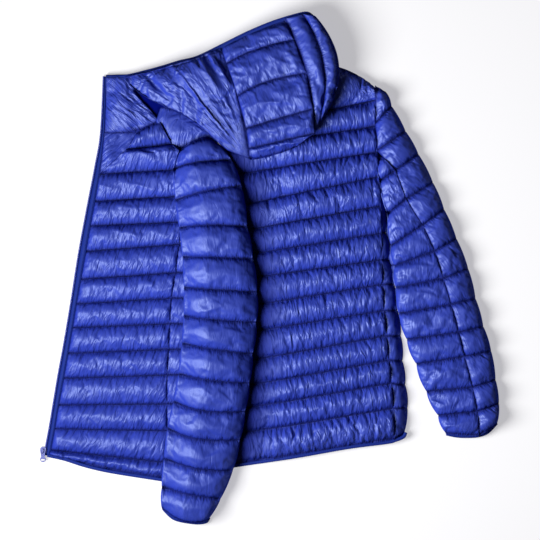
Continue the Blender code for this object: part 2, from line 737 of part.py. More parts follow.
def build_zip(plastic, tape):
    route = smooth_route(ZIP_EDGE, 2)
    band("zip_chain_left", route, 0.0, CHAIN_WIDTH, flat(CHAIN_LEVELS[0]),
         flat(CHAIN_LEVELS[1]), plastic)
    panel_edge = [COLLAR_ROWS[-1][0], COLLAR_ROWS[0][0], YOKE_ROWS[1][0]]
    panel_edge += [row[0] for row in reversed(FRONT_ROWS[:ZIP_ROWS])]
    rings = []
    for i, (x, y) in enumerate(route):
        nx, ny = side_of(route, i)
        start = (x + nx * (CHAIN_WIDTH + SEAM_GAP), y + ny * (CHAIN_WIDTH + SEAM_GAP))
        end = (edge_at(panel_edge, start[1]) - SEAM_GAP, start[1])
        rings.append([(*start, TAPE_LEVELS[0]), (*start, TAPE_LEVELS[1]),
                      (*end, TAPE_LEVELS[1]), (*end, TAPE_LEVELS[0])])
    loft("zip_tape_left", rings, tape)
    rings = []
    for row in BACK_ROWS[:FOLDED_ROWS]:
        inner = along(row, UNDER_EDGE)
        outer = along(row, UNDER_EDGE - TAPE_SHARE)
        rings.append([(inner[0] - SEAM_GAP, inner[1], 0.0),
                      (inner[0] - SEAM_GAP, inner[1], TAPE_LEVELS[1]),
                      (*outer, TAPE_LEVELS[1]), (*outer, 0.0)])
    loft("zip_tape_right", rings, tape)


def edge_at(points, y):
    """The x at height y on a line through points listed from top to bottom."""
    for (x0, y0), (x1, y1) in zip(points, points[1:]):
        if y1 <= y <= y0:
            return x0 + (x1 - x0) * (y0 - y) / (y0 - y1)
    return points[0][0] if y > points[0][1] else points[-1][0]


def plate(name, outline, low, high, material):
    """A flat plate from an outline, extruded from low to high."""
    return loft(name, [[(x, y, z) for x, y in outline] for z in (low, high)], material)


def boolean(target, tool, operation):
    modifier = target.modifiers.new(operation.title(), "BOOLEAN")
    modifier.operation = operation
    modifier.solver = "EXACT"
    modifier.object = tool
    tool.hide_render = True
    tool.display_type = "WIRE"


def rounded_bar(width, length, sides=6):
    """An outline with half-round ends, width along X, centred."""
    radius = length / 2
    straight = width / 2 - radius
    points = []
    for centre, start in ((straight, -90), (-straight, 90)):
        for k in range(sides + 1):
            angle = math.radians(start + 180 * k / sides)
            points.append((centre + radius * math.cos(angle), radius * math.sin(angle)))
    return points


def build_slider(metal):
    low, high = SLIDER_LEVELS
    web_left, web_right = SLIDER_WEB
    rings = []
    for share in SLIDER_STATIONS:
        taper = clamp((0.5 - abs(share)) / SLIDER_TAPER)
        half = (SLIDER_END_WIDTH + (SLIDER_WIDTH - SLIDER_END_WIDTH) * taper ** 0.5) / 2
        section = ((-half, low), (half, low), (half, low + SLIDER_PLATE),
                   (web_right, low + SLIDER_PLATE), (web_right, high - SLIDER_PLATE),
                   (half, high - SLIDER_PLATE), (half, high), (-half, high),
                   (-half, high - SLIDER_PLATE), (web_left, high - SLIDER_PLATE),
                   (web_left, low + SLIDER_PLATE), (-half, low + SLIDER_PLATE))
        rings.append([(x, share * SLIDER_LENGTH, z) for x, z in section])
    slider = loft("zip_slider", rings, metal)
    half = BRIDGE_LENGTH / 2
    top = high + BRIDGE_HEIGHT
    inner = half - BRIDGE_WALL
    foot = high - BRIDGE_SINK
    ceiling = top - BRIDGE_WALL
    arch = ((-half, foot), (-half, top - BRIDGE_ROUND), (-half + BRIDGE_ROUND, top),
            (half - BRIDGE_ROUND, top), (half, top - BRIDGE_ROUND), (half, foot),
            (inner, foot), (inner, ceiling - BRIDGE_INNER_ROUND),
            (inner - BRIDGE_INNER_ROUND, ceiling), (BRIDGE_INNER_ROUND - inner, ceiling),
            (-inner, ceiling - BRIDGE_INNER_ROUND), (-inner, foot))
    bridge = loft("bridge_tool", [[(x, y, z) for y, z in arch]
                                  for x in (-BRIDGE_WIDTH / 2, BRIDGE_WIDTH / 2)], metal)
    for piece in (slider, bridge):
        piece.matrix_world = Matrix.Translation(Vector((*SLIDER_AT, 0.0)) * MM)
    boolean(slider, bridge, "UNION")
    return slider


def build_pull(metal):
    """The pull tab, flat at rest, with its crossbar on the hinge axis."""
    half, neck = PULL_WIDTH / 2, PULL_NECK / 2
    bar = PULL_THICKNESS / 2
    tip = -(PULL_LENGTH - bar)
    waist = [(neck + change, place) for change, place in PULL_WAIST]
    round_at = tip + PULL_ROUND
    outline = [(-neck, bar), (neck, bar), *waist]
    for k in range(PULL_ARC + 1):
        angle = math.pi * k / PULL_ARC
        outline.append((half * math.cos(angle), round_at - PULL_ROUND * math.sin(angle)))
    outline += [(-x, y) for x, y in reversed(waist)]
    pull = plate("zip_pull", outline, -bar, bar, metal)
    window = [(-WINDOW[0] / 2, -bar), (WINDOW[0] / 2, -bar),
              (WINDOW[0] / 2, -WINDOW[1]), (-WINDOW[0] / 2, -WINDOW[1])]
    window_tool = plate("window_tool", window, -CUTTER_HALF, CUTTER_HALF, metal)
    slot = [(x, y + tip + SLOT_FROM_TIP) for x, y in rounded_bar(*SLOT)]
    slot_tool = plate("slot_tool", slot, -CUTTER_HALF, CUTTER_HALF, metal)
    hinge = Vector((*SLIDER_AT, SLIDER_LEVELS[1] + HINGE_HEIGHT)) * MM
    for piece in (pull, window_tool, slot_tool):
        piece.matrix_world = Matrix.Translation(hinge)
    boolean(pull, window_tool, "DIFFERENCE")
    boolean(pull, slot_tool, "DIFFERENCE")
    rounding = pull.modifiers.new("Edges", "BEVEL")
    rounding.width = PULL_BEVEL * MM
    rounding.segments = 1
    rounding.limit_method = "ANGLE"
    rounding.angle_limit = math.radians(PULL_BEVEL_ANGLE)
    return pull


def main():
    clear_scene()
    made = {name: finish(name, *values) for name, values in FINISHES.items()}
    cloth, tape = made["shell_fabric"], made["binding_tape"]
    build_body(cloth)
    build_left_sleeve(cloth)
    build_right_sleeve(cloth)
    build_hood(cloth)
    build_bindings(tape)
    build_zip(made["zip_plastic"], tape)
    build_slider(made["slider_enamel"])
    build_pull(made["slider_enamel"])


main()
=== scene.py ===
"""Dresses the laid-out puffer jacket: quilted panels, bindings, zip, floor, light and camera.

Tables are in millimetres, in the frame of the laid jacket: X to the right, Y towards the
hood, Z up from the floor.  Each quilted panel is a fine grid between its stitch lines, with
its heights taken from the frame, puckered at the seams and then settled as cloth.
"""
import math
import random
from collections import namedtuple

import bpy
import numpy as np
from bpy.props import FloatProperty, FloatVectorProperty, IntProperty, PointerProperty
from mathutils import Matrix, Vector, noise
from mathutils.bvhtree import BVHTree


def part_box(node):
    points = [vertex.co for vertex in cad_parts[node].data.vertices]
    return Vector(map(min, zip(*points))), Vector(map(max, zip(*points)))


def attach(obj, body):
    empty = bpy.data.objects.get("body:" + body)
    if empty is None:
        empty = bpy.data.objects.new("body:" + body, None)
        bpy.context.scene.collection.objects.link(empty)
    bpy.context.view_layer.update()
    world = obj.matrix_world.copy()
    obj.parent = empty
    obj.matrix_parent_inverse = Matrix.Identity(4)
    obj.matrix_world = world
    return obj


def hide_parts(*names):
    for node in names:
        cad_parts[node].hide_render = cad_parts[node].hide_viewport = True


bl_info = {
    "name": "Laid puffer jacket",
    "version": (1, 0, 0),
    "blender": (4, 5, 0),
    "location": "View3D > Sidebar > Jacket",
    "description": "Dresses a laid-out puffer jacket and sets its floor, light and camera",
    "category": "Object",
}

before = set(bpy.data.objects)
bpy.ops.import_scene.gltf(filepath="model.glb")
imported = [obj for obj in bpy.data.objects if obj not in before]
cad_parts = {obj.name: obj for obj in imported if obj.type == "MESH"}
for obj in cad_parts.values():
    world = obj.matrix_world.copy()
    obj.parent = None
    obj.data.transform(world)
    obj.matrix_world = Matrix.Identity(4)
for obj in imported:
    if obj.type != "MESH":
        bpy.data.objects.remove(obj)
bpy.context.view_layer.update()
MM = 0.001
BODY = "jacket"

# ---- how the cloth is made (mm) ----------------------------------------------------------
SEAM_GAP = 0.35            # between the frame's neighbouring pieces
OVERLAP = 0.7              # how far a panel's edge is turned in under its neighbour
BAND_HALF = 1.7            # half the flat band between the two rows of a stitch line
BAND_DEPTH = 1.5           # how far a stitch line is pulled in
TURN_IN = 3.2              # how far a panel's end is turned in under a binding or seam
TURN_DROP = 2.2            # and how far it drops there
EDGE_ROUND = 14.0          # how far in from its own edge a panel has its full height
SEAM_RISE = 0.5            # share of its height that a panel keeps at a side seam
PRESS_REACH = 40.0         # how far beside the sleeve the back has its full height
PRESSED = 0.3              # share of its height that it keeps at the sleeve
SLEEVE_SHADOW_REACH = 66.0         # how far beside the sleeve its shadow is painted on the back
SLEEVE_SHADOW_FADE = 48.0          # the stretch over which that fades
SLEEVE_SHADOW_MOST = 0.95          # 1 being as dark as the painted shade at a stitch line
END_ROLL = 3.0             # how far a panel rolls down to its elastic binding
ROLL_REACH = 7.0           # and how far from it that begins
SEAM_SHADE_REACH = 2.0           # reach of the painted shade at a side seam
STITCH_SHADE_REACH = 2.7         # and at a stitch line
PUCKER_REACH = 7.0         # reach of the short puckers at a stitch line
SIDE_TUCK_FADE = 4.0       # how near a stitch line the tucks of the sides end
UNEVEN = (0.10, 60.0)      # how much a puff's height varies, and over what length
SWAY = (0.7, 0.35)         # how far a ring of points wanders, inside a channel and at a seam
SHELL_LEAST = 1.2          # least thickness of a panel
TURNED_LEAST = 0.3         # and of its turned-in end
SETTLE_LIMIT = 3.5         # the furthest that a point may settle
EDGE_COLUMNS = (0.0, 1.1, 2.8)   # places of the grid's columns beside a panel's side
PROBE_INSET = 1.6          # heights are read this far inside a solid's edge
UNDER_EDGE = 0.45          # share of the back's width where the right front begins under it
RAMP = (UNDER_EDGE - 0.16, UNDER_EDGE - 0.05)    # where the back's under side rises to it
LAYER = 8.0                # thickness of the layer under the back
BINDING_WIDTH = 6.2
BINDING_HEIGHT = 5.0
HOOD_BINDING_WIDTH = 8.0
CHAIN_WIDTH = 3.6          # of the zip's row of teeth
PLAIN = "plain"            # marks a row that shapes the outline and has no stitching

BACK_ROWS = (
    ((-103, -355.8), (60, -329.4), (224, -302.6)),
    ((-103, -303), (223, -249)),
    ((-103, -260), (219, -204)),
    ((-103, -220), (215, -163)),
    ((-103, -176), (210, -119)),
    ((-103, -123), (206, -74)),
    ((-103, -76), (204, -27)),
    ((-103, -25), (202, 17)),
    ((-103, 16), (202, 65)),
    ((-103, 59), (201, 114)),
    ((-45, 116), (197, 166)),
    ((-58, 171), (194, 210)),
    ((-81, 215), (190, 256)),
    ((-99, 240), (190.5, 303)),
    ((-112, 297), (56, 365), (190, 325)),
)
SIDE_RIGHT_ENDS = (
    (241.2, -295.3), (248, -250), (244, -208), (239, -165), (236, -120), (230, -74),
    (224, -27), (216, 16), (209, 65), (205, 124),
)
SIDE_RIGHT_ROWS = tuple(zip([row[-1] for row in BACK_ROWS[:9]] + [(199.5, 126)],
                            SIDE_RIGHT_ENDS))
FRONT_ROWS = (
    ((-394, -332.6), (-292, -357.4), (-190, -374.2)),
    ((-391, -325), (-186, -347)),
    ((-384, -287), (-183, -290)),
    ((-377, -244), (-183, -242)),
    ((-368, -196), (-183, -190)),
    ((-360, -151), (-180, -144)),
    ((-352, -105), (-178, -98)),
    ((-345, -62), (-175, -52)),
    ((-337, -18), (-168, -6)),
    ((-328, 32), (-161, 45)),
    ((-320, 78), (-158, 85)),
    ((-312, 122), (-165, 131)),
    ((-303, 171), (-167, 179)),
    ((-266, 205), (-160, 211), PLAIN),
    ((-255, 214), (-175, 224)),
    ((-239, 241), (-219, 254.5), (-198, 267)),
)
SIDE_LEFT_ROWS = (
    ((-189, -373), (-104, -358)),
    ((-185.5, -347), (-104, -335)),
    *((row[-1], (-104, row[-1][1])) for row in FRONT_ROWS[2:10]),
)
YOKE_ROWS = (
    ((-303.5, 173), (-291, 176)),
    ((-300, 194), (-271, 194), PLAIN),
    ((-298, 220), (-248, 219), PLAIN),
    ((-295, 246), (-232, 247)),
)
COLLAR_ROWS = (
    ((-295, 245), (-246, 247), (-197, 266)),
    ((-294, 272), (-212, 284), PLAIN),
    ((-293, 293), (-227, 300), PLAIN),
    ((-292, 317), (-240, 318), PLAIN),
    ((-292, 345), (-248, 346)),
)
SHOULDER_ROWS = (
    ((-163, 210), (-136, 228), (-103, 237)),
    ((-186, 238), (-149, 247), (-104, 241), PLAIN),
    ((-203, 265), (-164, 268), (-110, 247), PLAIN),
    ((-194, 291), (-146, 277), (-104, 251)),
)
SLEEVE_LEFT_ROWS = (
    ((-161, 209), (-136, 225), (-102, 235)),
    ((-171, 178), (-133, 189), (-68, 194)),
    ((-166, 123), (-113, 138), (-50, 148)),
    ((-159, 73), (-107, 78), (-40, 75)),
    ((-153, 21), (-104, 21), (-30, 18)),
    ((-151, -33), (-105, -36), (-23, -41)),
    ((-151, -83), (-106, -89), (-24, -95)),
    ((-154, -133), (-99, -142), (-30, -151)),
    ((-160, -187), (-106, -197), (-36, -203)),
    ((-169, -236), (-117, -251), (-44, -254)),
    ((-180, -284), (-127, -301), (-53, -304)),
    ((-186, -338), (-126, -354), (-65, -358)),
    ((-190, -389), (-141, -400), (-87, -409)),
    ((-190.5, -427.5), (-149, -448.4), (-108, -446.3)),
)
SLEEVE_RIGHT_ROWS = (
    ((190.7, 323), (198, 322), (209, 315)),
    ((190.2, 260), (205, 274), (219, 291)),
    ((194.2, 212), (218, 229), (244, 246)),
    ((198, 157), (225, 175), (267, 205)),
    ((213, 99), (244, 124), (293, 154)),
    ((220, 42), (274, 78), (313, 106)),
    ((226, 6), (296, 32), (335, 54)),
    ((230, -33), (311, -17), (356, 0)),
    ((235, -80), (325, -63), (369, -53)),
    ((248, -126), (339, -113), (383, -103)),
    ((265, -170), (349, -156), (397, -147)),
    ((283, -219), (363, -211), (405, -199)),
    ((304, -262), (372, -254), (411, -241)),
    ((317, -293.3), (375, -297.0), (407.3, -277.0)),
)
SEAM_FIRST_ROW = 3
UNDER_REACH = ((4, 206), (5, 214), (6, 218.5), (7, 226), (8, 231.5))    # row, left end
SEAM_START = ((195.6, 196), (204, 197))
HOOD_LEFT_ROWS = (
    ((-254, 344), (-251, 337), (-248, 329)),
    ((-219, 349.5), (-227, 333), (-234, 317), PLAIN),
    ((-188, 358), (-200, 329), (-211, 302), PLAIN),
    ((-161, 366), (-173, 328), (-185, 290), PLAIN),
    ((-142, 371), (-148, 324), (-157, 278), PLAIN),
    ((-124, 376), (-125, 320), (-127, 259), PLAIN),
    ((-110, 383), (-103, 315), (-100, 234), PLAIN),
    ((-96, 389.5), (-79, 310), (-74, 212), PLAIN),
    ((-86, 394.5), (-57, 305), (-34, 196)),
)
HOOD_CENTRE_ROWS = (
    ((-86, 394.5), (-27, 422), (29, 441)),
    ((-75, 363), (-27, 386), (44, 404)),
    ((-55, 305), (-6, 329), (66, 344)),
    ((-40, 248), (12, 263), (77, 281)),
    ((-35, 213), (23, 226), (80, 239)),
    ((-34, 196), (6, 203), (52, 219)),
)
HOOD_RIGHT_ROWS = (
    ((80, 239), (66, 344), (29, 442)),
    ((93, 275), (95, 365), (60, 450)),
    ((92, 263), (121, 356), (80, 447)),
)
HOOD_EDGE = (
    (-291, 348), (-256, 349), (-219, 357), (-188, 365), (-161, 373), (-128, 381),
    (-83, 402), (-39, 423), (6, 441), (51, 454), (69, 456), (80, 449),
)
ZIP_EDGE = (
    (-299, 346), (-304, 245), (-314, 185), (-329, 108), (-344, 27), (-357, -56),
    (-371, -139), (-381, -193), (-395, -277), (-402.5, -318), (-403.5, -331.5),
)
HEM_LEFT = (
    (-399, -338), (-368, -345), (-337, -355), (-306, -363), (-269, -370), (-192, -382),
)
HEM_BACK = (
    (-103, -364), (-68, -358), (50, -339), (141, -323), (210, -314), (227, -310),
    (243, -303), (248, -294),
)
CUFF_LEFT = ((-190, -434), (-170, -451), (-135, -458), (-113, -456.5), (-106, -449))
CUFF_RIGHT = ((319, -299), (335, -302.3), (352, -303.3), (376, -302), (394, -295), (410, -279))

# How each quilted panel puckers and settles: rise of a puff; spacing, depth and reach (share
# of a channel) of the tucks at its seams; lean of tucks and streaks; height and pitch of the
# streaks; slack of the cloth.
Pucker = namedtuple("Pucker", "puff spacing depth reach lean streak pitch slack")
PUCKERS = {
    "back": (12.0, 8.0, 3.8, 0.38, 0.05, 0.9, 7.0, 0.035),
    "front_left": (12.0, 10.0, 3.4, 0.34, 0.40, 0.8, 13.0, 0.035),
    "side_left": (8.0, 10.0, 2.0, 0.40, 0.30, 0.7, 12.0, 0.04),
    "side_right": (5.5, 8.0, 1.0, 0.40, 0.00, 0.3, 12.0, 0.03),
    "yoke_left": (5.0, 9.0, 1.2, 0.30, 1.0, 1.7, 9.0, 0.04),
    "collar_left": (7.0, 8.0, 1.8, 0.20, -0.8, 2.6, 11.0, 0.05),
    "shoulder_left": (5.0, 16.0, 0.8, 0.30, 0.30, 0.7, 26.0, 0.03),
    "sleeve_left_top": (11.0, 12.0, 1.2, 0.20, 0.10, 0.25, 34.0, 0.025),
    "sleeve_right_outer": (9.5, 10.0, 1.5, 0.24, 0.20, 0.3, 28.0, 0.03),
    "sleeve_right_inner": (10.0, 9.0, 1.8, 0.28, -0.30, 0.4, 18.0, 0.035),
    "hood_left": (6.0, 12.0, 1.5, 0.20, 0.00, 5.2, 22.0, 0.06),
    "hood_centre": (8.0, 10.0, 1.4, 0.24, 0.10, 0.4, 26.0, 0.035),
    "hood_right": (5.0, 14.0, 0.6, 0.30, 0.30, 0.15, 40.0, 0.02),
}

# Sections across panels: share of the width, and height over the frame.
LEFT_SECTION = ((0, 0), (0.07, -5), (0.12, -6), (0.44, 6.5), (0.50, 6.5), (0.86, 3), (1, -5))
OUTER_SECTION = ((0, 0), (0.30, 1.5), (0.75, 0.5), (1, -2))
SIDE_SECTION = ((0, 0), (0.15, -0.5), (1, -8))
SECTION_BLUR = 0.035
# How dark the shade painted along a panel's left and right sides is, where not the same at
# both.
SIDE_SHADE = {"sleeve_left_top": (0.0, 0.0), "sleeve_right_outer": (0.9, 0.0),
                "sleeve_right_inner": (0.0, 0.9), "hood_right": (0.9, 0.0),
                "side_right": (0.9, 0.0), "side_left": (0.9, 0.0)}
USUAL_SIDE_SHADE = (0.9, 0.9)        # and where it is
# How far in from its left and right side a panel that is seamed to others has its height.
SIDE_REACH = {"back": (1.0, 6.0), "side_right": (5.0, 14.0), "front_left": (14.0, 7.0),
              "side_left": (7.0, 14.0), "sleeve_right_outer": (7.0, 14.0),
              "sleeve_right_inner": (14.0, 7.0)}
# Spacing, depth and reach of the tucks at a panel's left and right sides.
SIDE_TUCKS = {
    "front_left": ((9.0, 0.9, 8.0), (8.0, 2.2, 14.0)),
    "back": ((9.0, 1.2, 12.0), (9.0, 1.6, 13.0)),
    "sleeve_left_top": ((14.0, 1.5, 12.0), (14.0, 1.2, 10.0)),
    "sleeve_right_outer": ((9.0, 1.6, 13.0), (14.0, 1.2, 12.0)),
    "sleeve_right_inner": ((14.0, 1.2, 12.0), (9.0, 1.6, 13.0)),
    "hood_left": ((7.5, 3.4, 30.0), (10.0, 1.6, 16.0)),
    "hood_centre": ((9.0, 1.8, 14.0), (9.0, 1.6, 14.0)),
    "collar_left": ((10.0, 0.8, 8.0), (8.0, 1.8, 14.0)),
    "yoke_left": ((9.0, 0.8, 10.0), (12.0, 0.8, 10.0)),
}
FINE_TUCKS = (0.42, 0.45, 0.5)    # spacing, depth and reach beside the larger tucks
GATHERED = 1.5             # how much deeper and longer tucks are beside an elastic binding
HOOD_FOCUS = (-24, 178)    # the corner that the hood's long gathers run towards
FOCUS_RADIUS = 230.0       # where the distance between them is measured


# ---- settings ----------------------------------------------------------------------------
class JacketFinish(bpy.types.PropertyGroup):
    shell_colour: FloatVectorProperty(
        name="Shell colour", description="Dye of the nylon shell", subtype="COLOR", size=4,
        min=0, max=1, default=(0.021, 0.039, 0.32, 1.0))
    trim_colour: FloatVectorProperty(
        name="Trim colour", description="Dye of the bindings and zip tape", subtype="COLOR",
        size=4, min=0, max=1, default=(0.007, 0.018, 0.18, 1.0))
    thread_colour: FloatVectorProperty(
        name="Thread colour", description="Dye of the stitching", subtype="COLOR", size=4,
        min=0, max=1, default=(0.004, 0.007, 0.06, 1.0))
    shell_roughness: FloatProperty(
        name="Shell roughness", description="Sheen of the shell, from glossy to matt",
        min=0, max=1, subtype="FACTOR", default=0.50)


class JacketMaking(bpy.types.PropertyGroup):
    cell: FloatProperty(
        name="Cell", description="Size of the cloth's grid, in millimetres", min=1.5, max=8,
        default=2.5)
    frames: IntProperty(
        name="Frames", description="Steps that the cloth settles for", min=1, max=60,
        default=14)
    stitch_pitch: FloatProperty(
        name="Stitch pitch", description="Length of one stitch, in millimetres", min=1,
        max=8, default=3.2)
    pressure: FloatProperty(
        name="Fill pressure", description="How hard the fill pushes the shell out", min=0,
        max=20, default=3.0)


class JacketLight(bpy.types.PropertyGroup):
    key: FloatProperty(
        name="Key light", description="Strength of the soft light from the left",
        min=0, max=20, default=6.9)
    sky: FloatProperty(
        name="Room light", description="Strength of the even light all round", min=0, max=5,
        default=0.05)
    camera_height: FloatProperty(
        name="Camera height", description="Height of the camera over the floor",
        unit="LENGTH", min=0.5, max=10, default=2.4)
    view_width: FloatProperty(
        name="View width", description="Width of floor that the camera sees", unit="LENGTH",
        min=0.2, max=5, default=0.972)


# ---- rows and curves ---------------------------------------------------------------------
def mix(a, b, t):
    return tuple(p + (q - p) * t for p, q in zip(a, b))


def along(row, s):
    """The point at share s of a row of two points, or of a smooth curve through three."""
    if len(row) == 2:
        return mix(row[0], row[1], s)
    weights = ((1 - s) * (1 - 2 * s), 4 * s * (1 - s), s * (2 * s - 1))
    return tuple(sum(w * p[i] for w, p in zip(weights, row)) for i in range(2))


def cut_row(row, first, last):
    """The stretch of a row between two shares of its width, as three points."""
    return tuple(along(row, s) for s in (first, (first + last) / 2, last))


def width_of(row):
    (x0, y0), (x1, y1) = row[0], row[-1]
    return math.hypot(x1 - x0, y1 - y0)


def inset(row, gap):
    share = min(0.45, gap / width_of(row))
    return cut_row(row, share, 1 - share)


def dome(share, power=0.7):
    return max(0.0, math.sin(math.pi * share)) ** power


def within(share, margin):
    """A share of a width, kept at least a margin away from both sides."""
    return min(max(share, margin), 1 - margin)


def rounded(value, power):
    return math.copysign(abs(value) ** power, value)


def wander(*place):
    """Smooth noise at a place, from about -1 to 1."""
    return noise.noise(Vector(place))


def side_round(distance, reach):
    """1 inside a panel, falling in a quarter round at its side, all the way at a free one."""
    low = SEAM_RISE if reach < EDGE_ROUND else 0.0
    edge = np.clip(distance / reach, 0, 1)
    return low + (1 - low) * np.sqrt(np.clip(1 - (1 - edge) ** 2, 0, 1))


def smooth_route(points, parts):
    """Points on a smooth curve through a route's own points."""
    result = []
    last = len(points) - 1
    for i in range(last):
        a, b = points[max(i - 1, 0)], points[i]
        c, d = points[i + 1], points[min(i + 2, last)]
        for k in range(parts):
            t = k / parts
            result.append(tuple(
                0.5 * (2 * q + (r - p) * t + (2 * p - 5 * q + 4 * r - s) * t ** 2
                       + (3 * q - 3 * r + s - p) * t ** 3)
                for p, q, r, s in zip(a, b, c, d)))
    result.append(tuple(points[-1]))
    return result


def even_route(points, step):
    """The same route with points at even distances of about one step."""
    dense = smooth_route(points, 24)
    lengths = [0.0]
    for a, b in zip(dense, dense[1:]):
        lengths.append(lengths[-1] + math.dist(a, b))
    count = max(2, round(lengths[-1] / step))
    places = np.linspace(0, lengths[-1], count + 1)
    return list(zip(*(np.interp(places, lengths, [p[i] for p in dense]) for i in range(2))))


def side_of(points, i):
    """The unit vector to the left of a route at its point i."""
    before, after = points[max(i - 1, 0)], points[min(i + 1, len(points) - 1)]
    dx, dy = after[0] - before[0], after[1] - before[1]
    length = math.hypot(dx, dy)
    return -dy / length, dx / length


# ---- heights of the frame ----------------------------------------------------------------
RAY_ABOVE, RAY_BELOW = 200.0, -50.0       # where rays down and up begin
MISS_ABOVE, MISS_BELOW = 60.0, -20.0      # what is nearest to this counts where they miss


class Solid:
    """Reads the heights of one of the frame's solids, in millimetres."""

    def __init__(self, node):
        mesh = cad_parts[node].data
        points = [v.co / MM for v in mesh.vertices]
        self.tree = BVHTree.FromPolygons(points, [p.vertices[:] for p in mesh.polygons])

    def height(self, x, y, up=True):
        start = Vector((x, y, RAY_ABOVE if up else RAY_BELOW))
        hit = self.tree.ray_cast(start, Vector((0, 0, -1.0 if up else 1.0)))[0]
        if hit is None:
            hit = self.tree.find_nearest(Vector((x, y, MISS_ABOVE if up else MISS_BELOW)))[0]
        return hit.z

    def top(self, x, y):
        return self.height(x, y)

    def foot(self, x, y):
        return max(0.0, self.height(x, y, up=False))


# ---- meshes ------------------------------------------------------------------------------
def link(name, vertices, faces, material):
    """A new piece from points in millimetres."""
    data = bpy.data.meshes.new(name)
    data.from_pydata([tuple(c * MM for c in p) for p in vertices], [], faces)
    data.update()
    data.shade_smooth()
    data.materials.append(material)
    piece = bpy.data.objects.new(name, data)
    bpy.context.scene.collection.objects.link(piece)
    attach(piece, BODY)
    return piece


def lofted(node, kind, rings, material, top_count=0, closed=False):
    """A piece through rings of points, in place of one of the frame's solids."""
    faces = loft_faces(len(rings), len(rings[0]), top_count, closed)
    piece = link(f"{node}_{kind}", [p for ring in rings for p in ring], faces, material)
    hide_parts(node)
    return piece


def cap_faces(loop, top_count, flip):
    """Closes an end ring with a strip between its top points and its bottom points."""
    top, bottom = loop[:top_count], loop[:top_count - 1:-1]
    faces = []
    i = j = 0
    while i < len(top) - 1 or j < len(bottom) - 1:
        top_next = (i + 1) / (len(top) - 1) if i < len(top) - 1 else 2.0
        bottom_next = (j + 1) / (len(bottom) - 1) if j < len(bottom) - 1 else 2.0
        if top_next <= bottom_next:
            face = (top[i], top[i + 1], bottom[j])
            i += 1
        else:
            face = (top[i], bottom[j + 1], bottom[j])
            j += 1
        faces.append(face[::-1] if flip else face)
    return faces


def loft_faces(ring_count, ring_size, top_count=0, closed=False):
    """Quads between rings, whose points run over the top from left to right and back below."""
    faces = []
    last = ring_count if closed else ring_count - 1
    for k in range(last):
        a, b = k * ring_size, (k + 1) % ring_count * ring_size
        for i in range(ring_size):
            j = (i + 1) % ring_size
            faces.append((a + i, a + j, b + j, b + i))
    if not closed:
        first = list(range(ring_size))
        end = [i + (ring_count - 1) * ring_size for i in first]
        if top_count:
            faces += cap_faces(first, top_count, True) + cap_faces(end, top_count, False)
        else:
            faces += [tuple(first[::-1]), tuple(end)]
    return faces


def set_attribute(piece, name, values):
    attribute = piece.data.attributes.new(name, "FLOAT", "POINT")
    attribute.data.foreach_set("value", np.asarray(values, dtype=np.float32))


SHELL_CLOTH = {"quality": 5, "mass": 0.3, "air_damping": 1.0, "tension_stiffness": 25.0,
               "compression_stiffness": 25.0, "shear_stiffness": 5.0,
               "bending_stiffness": 0.15, "tension_damping": 5.0,
               "compression_damping": 5.0, "use_pressure": True}


def settle(piece, pinned, slack, making):
    """Lets the shell settle as cloth between its pinned stitches, and keeps the result."""
    scene = bpy.context.scene
    group = piece.vertex_groups.new(name="pinned")
    group.add(pinned, 1.0, "REPLACE")
    cloth = piece.modifiers.new("Settle", "CLOTH")
    cloth.collision_settings.use_collision = False
    cloth.point_cache.frame_end = making.frames
    setup = cloth.settings
    setup.vertex_group_mass = group.name
    setup.effector_weights.gravity = 0.0
    for label, value in SHELL_CLOTH.items():
        setattr(setup, label, value)
    setup.uniform_pressure_force = making.pressure
    setup.shrink_min = setup.shrink_max = -slack
    before = points_of(piece.data)
    for number in range(1, making.frames + 1):
        scene.frame_set(number)
    graph = bpy.context.evaluated_depsgraph_get()
    settled = bpy.data.meshes.new_from_object(piece.evaluated_get(graph))
    after = points_of(settled)
    bpy.data.meshes.remove(settled)
    piece.modifiers.remove(cloth)
    piece.vertex_groups.remove(group)
    scene.frame_set(1)
    places = before + np.clip(after - before, -SETTLE_LIMIT * MM, SETTLE_LIMIT * MM)
    places[:, 2] = np.maximum(places[:, 2], np.minimum(before[:, 2], 0.8 * MM))
    piece.data.vertices.foreach_set("co", places.astype(np.float32).ravel())
    piece.data.update()


def points_of(mesh):
    flat = np.zeros(len(mesh.vertices) * 3, np.float32)
    mesh.vertices.foreach_get("co", flat)
    return flat.reshape(-1, 3).astype(float)


# ---- quilted panels ----------------------------------------------------------------------
def channels_of(rows):
    """Pairs of stitched rows, each with the plain rows that lie between them."""
    curves = [inset(cut_row([p for p in row if p != PLAIN], 0, 1), -OVERLAP) for row in rows]
    stitched = [k for k, row in enumerate(rows) if row[-1] != PLAIN]
    return curves, list(zip(stitched, stitched[1:]))


def row_at(curves, place):
    k = min(int(place), len(curves) - 2)
    return tuple(mix(p, q, place - k) for p, q in zip(curves[k], curves[k + 1]))


def ring_places(curves, first, last, cell):
    """Shares of a channel at which its rings lie, and its height in millimetres."""
    middle = [along(curve, 0.5) for curve in curves[first:last + 1]]
    height = sum(math.dist(a, b) for a, b in zip(middle, middle[1:]))
    band = min(BAND_HALF / height, 0.2)
    count = max(4, round(height * (1 - 2 * band) / cell))
    inner = [band + (1 - 2 * band) * i / count for i in range(count + 1)]
    return [0.0] + inner, height


def columns_for(width, cell):
    """Shares of a panel's width at which its columns lie, closer together at both sides."""
    start = EDGE_COLUMNS[-1] + cell
    count = max(3, round((width - 2 * start) / cell))
    inner = [start + (width - 2 * start) * i / count for i in range(count + 1)]
    places = list(EDGE_COLUMNS) + inner + [width - c for c in reversed(EDGE_COLUMNS)]
    return np.array(places) / width


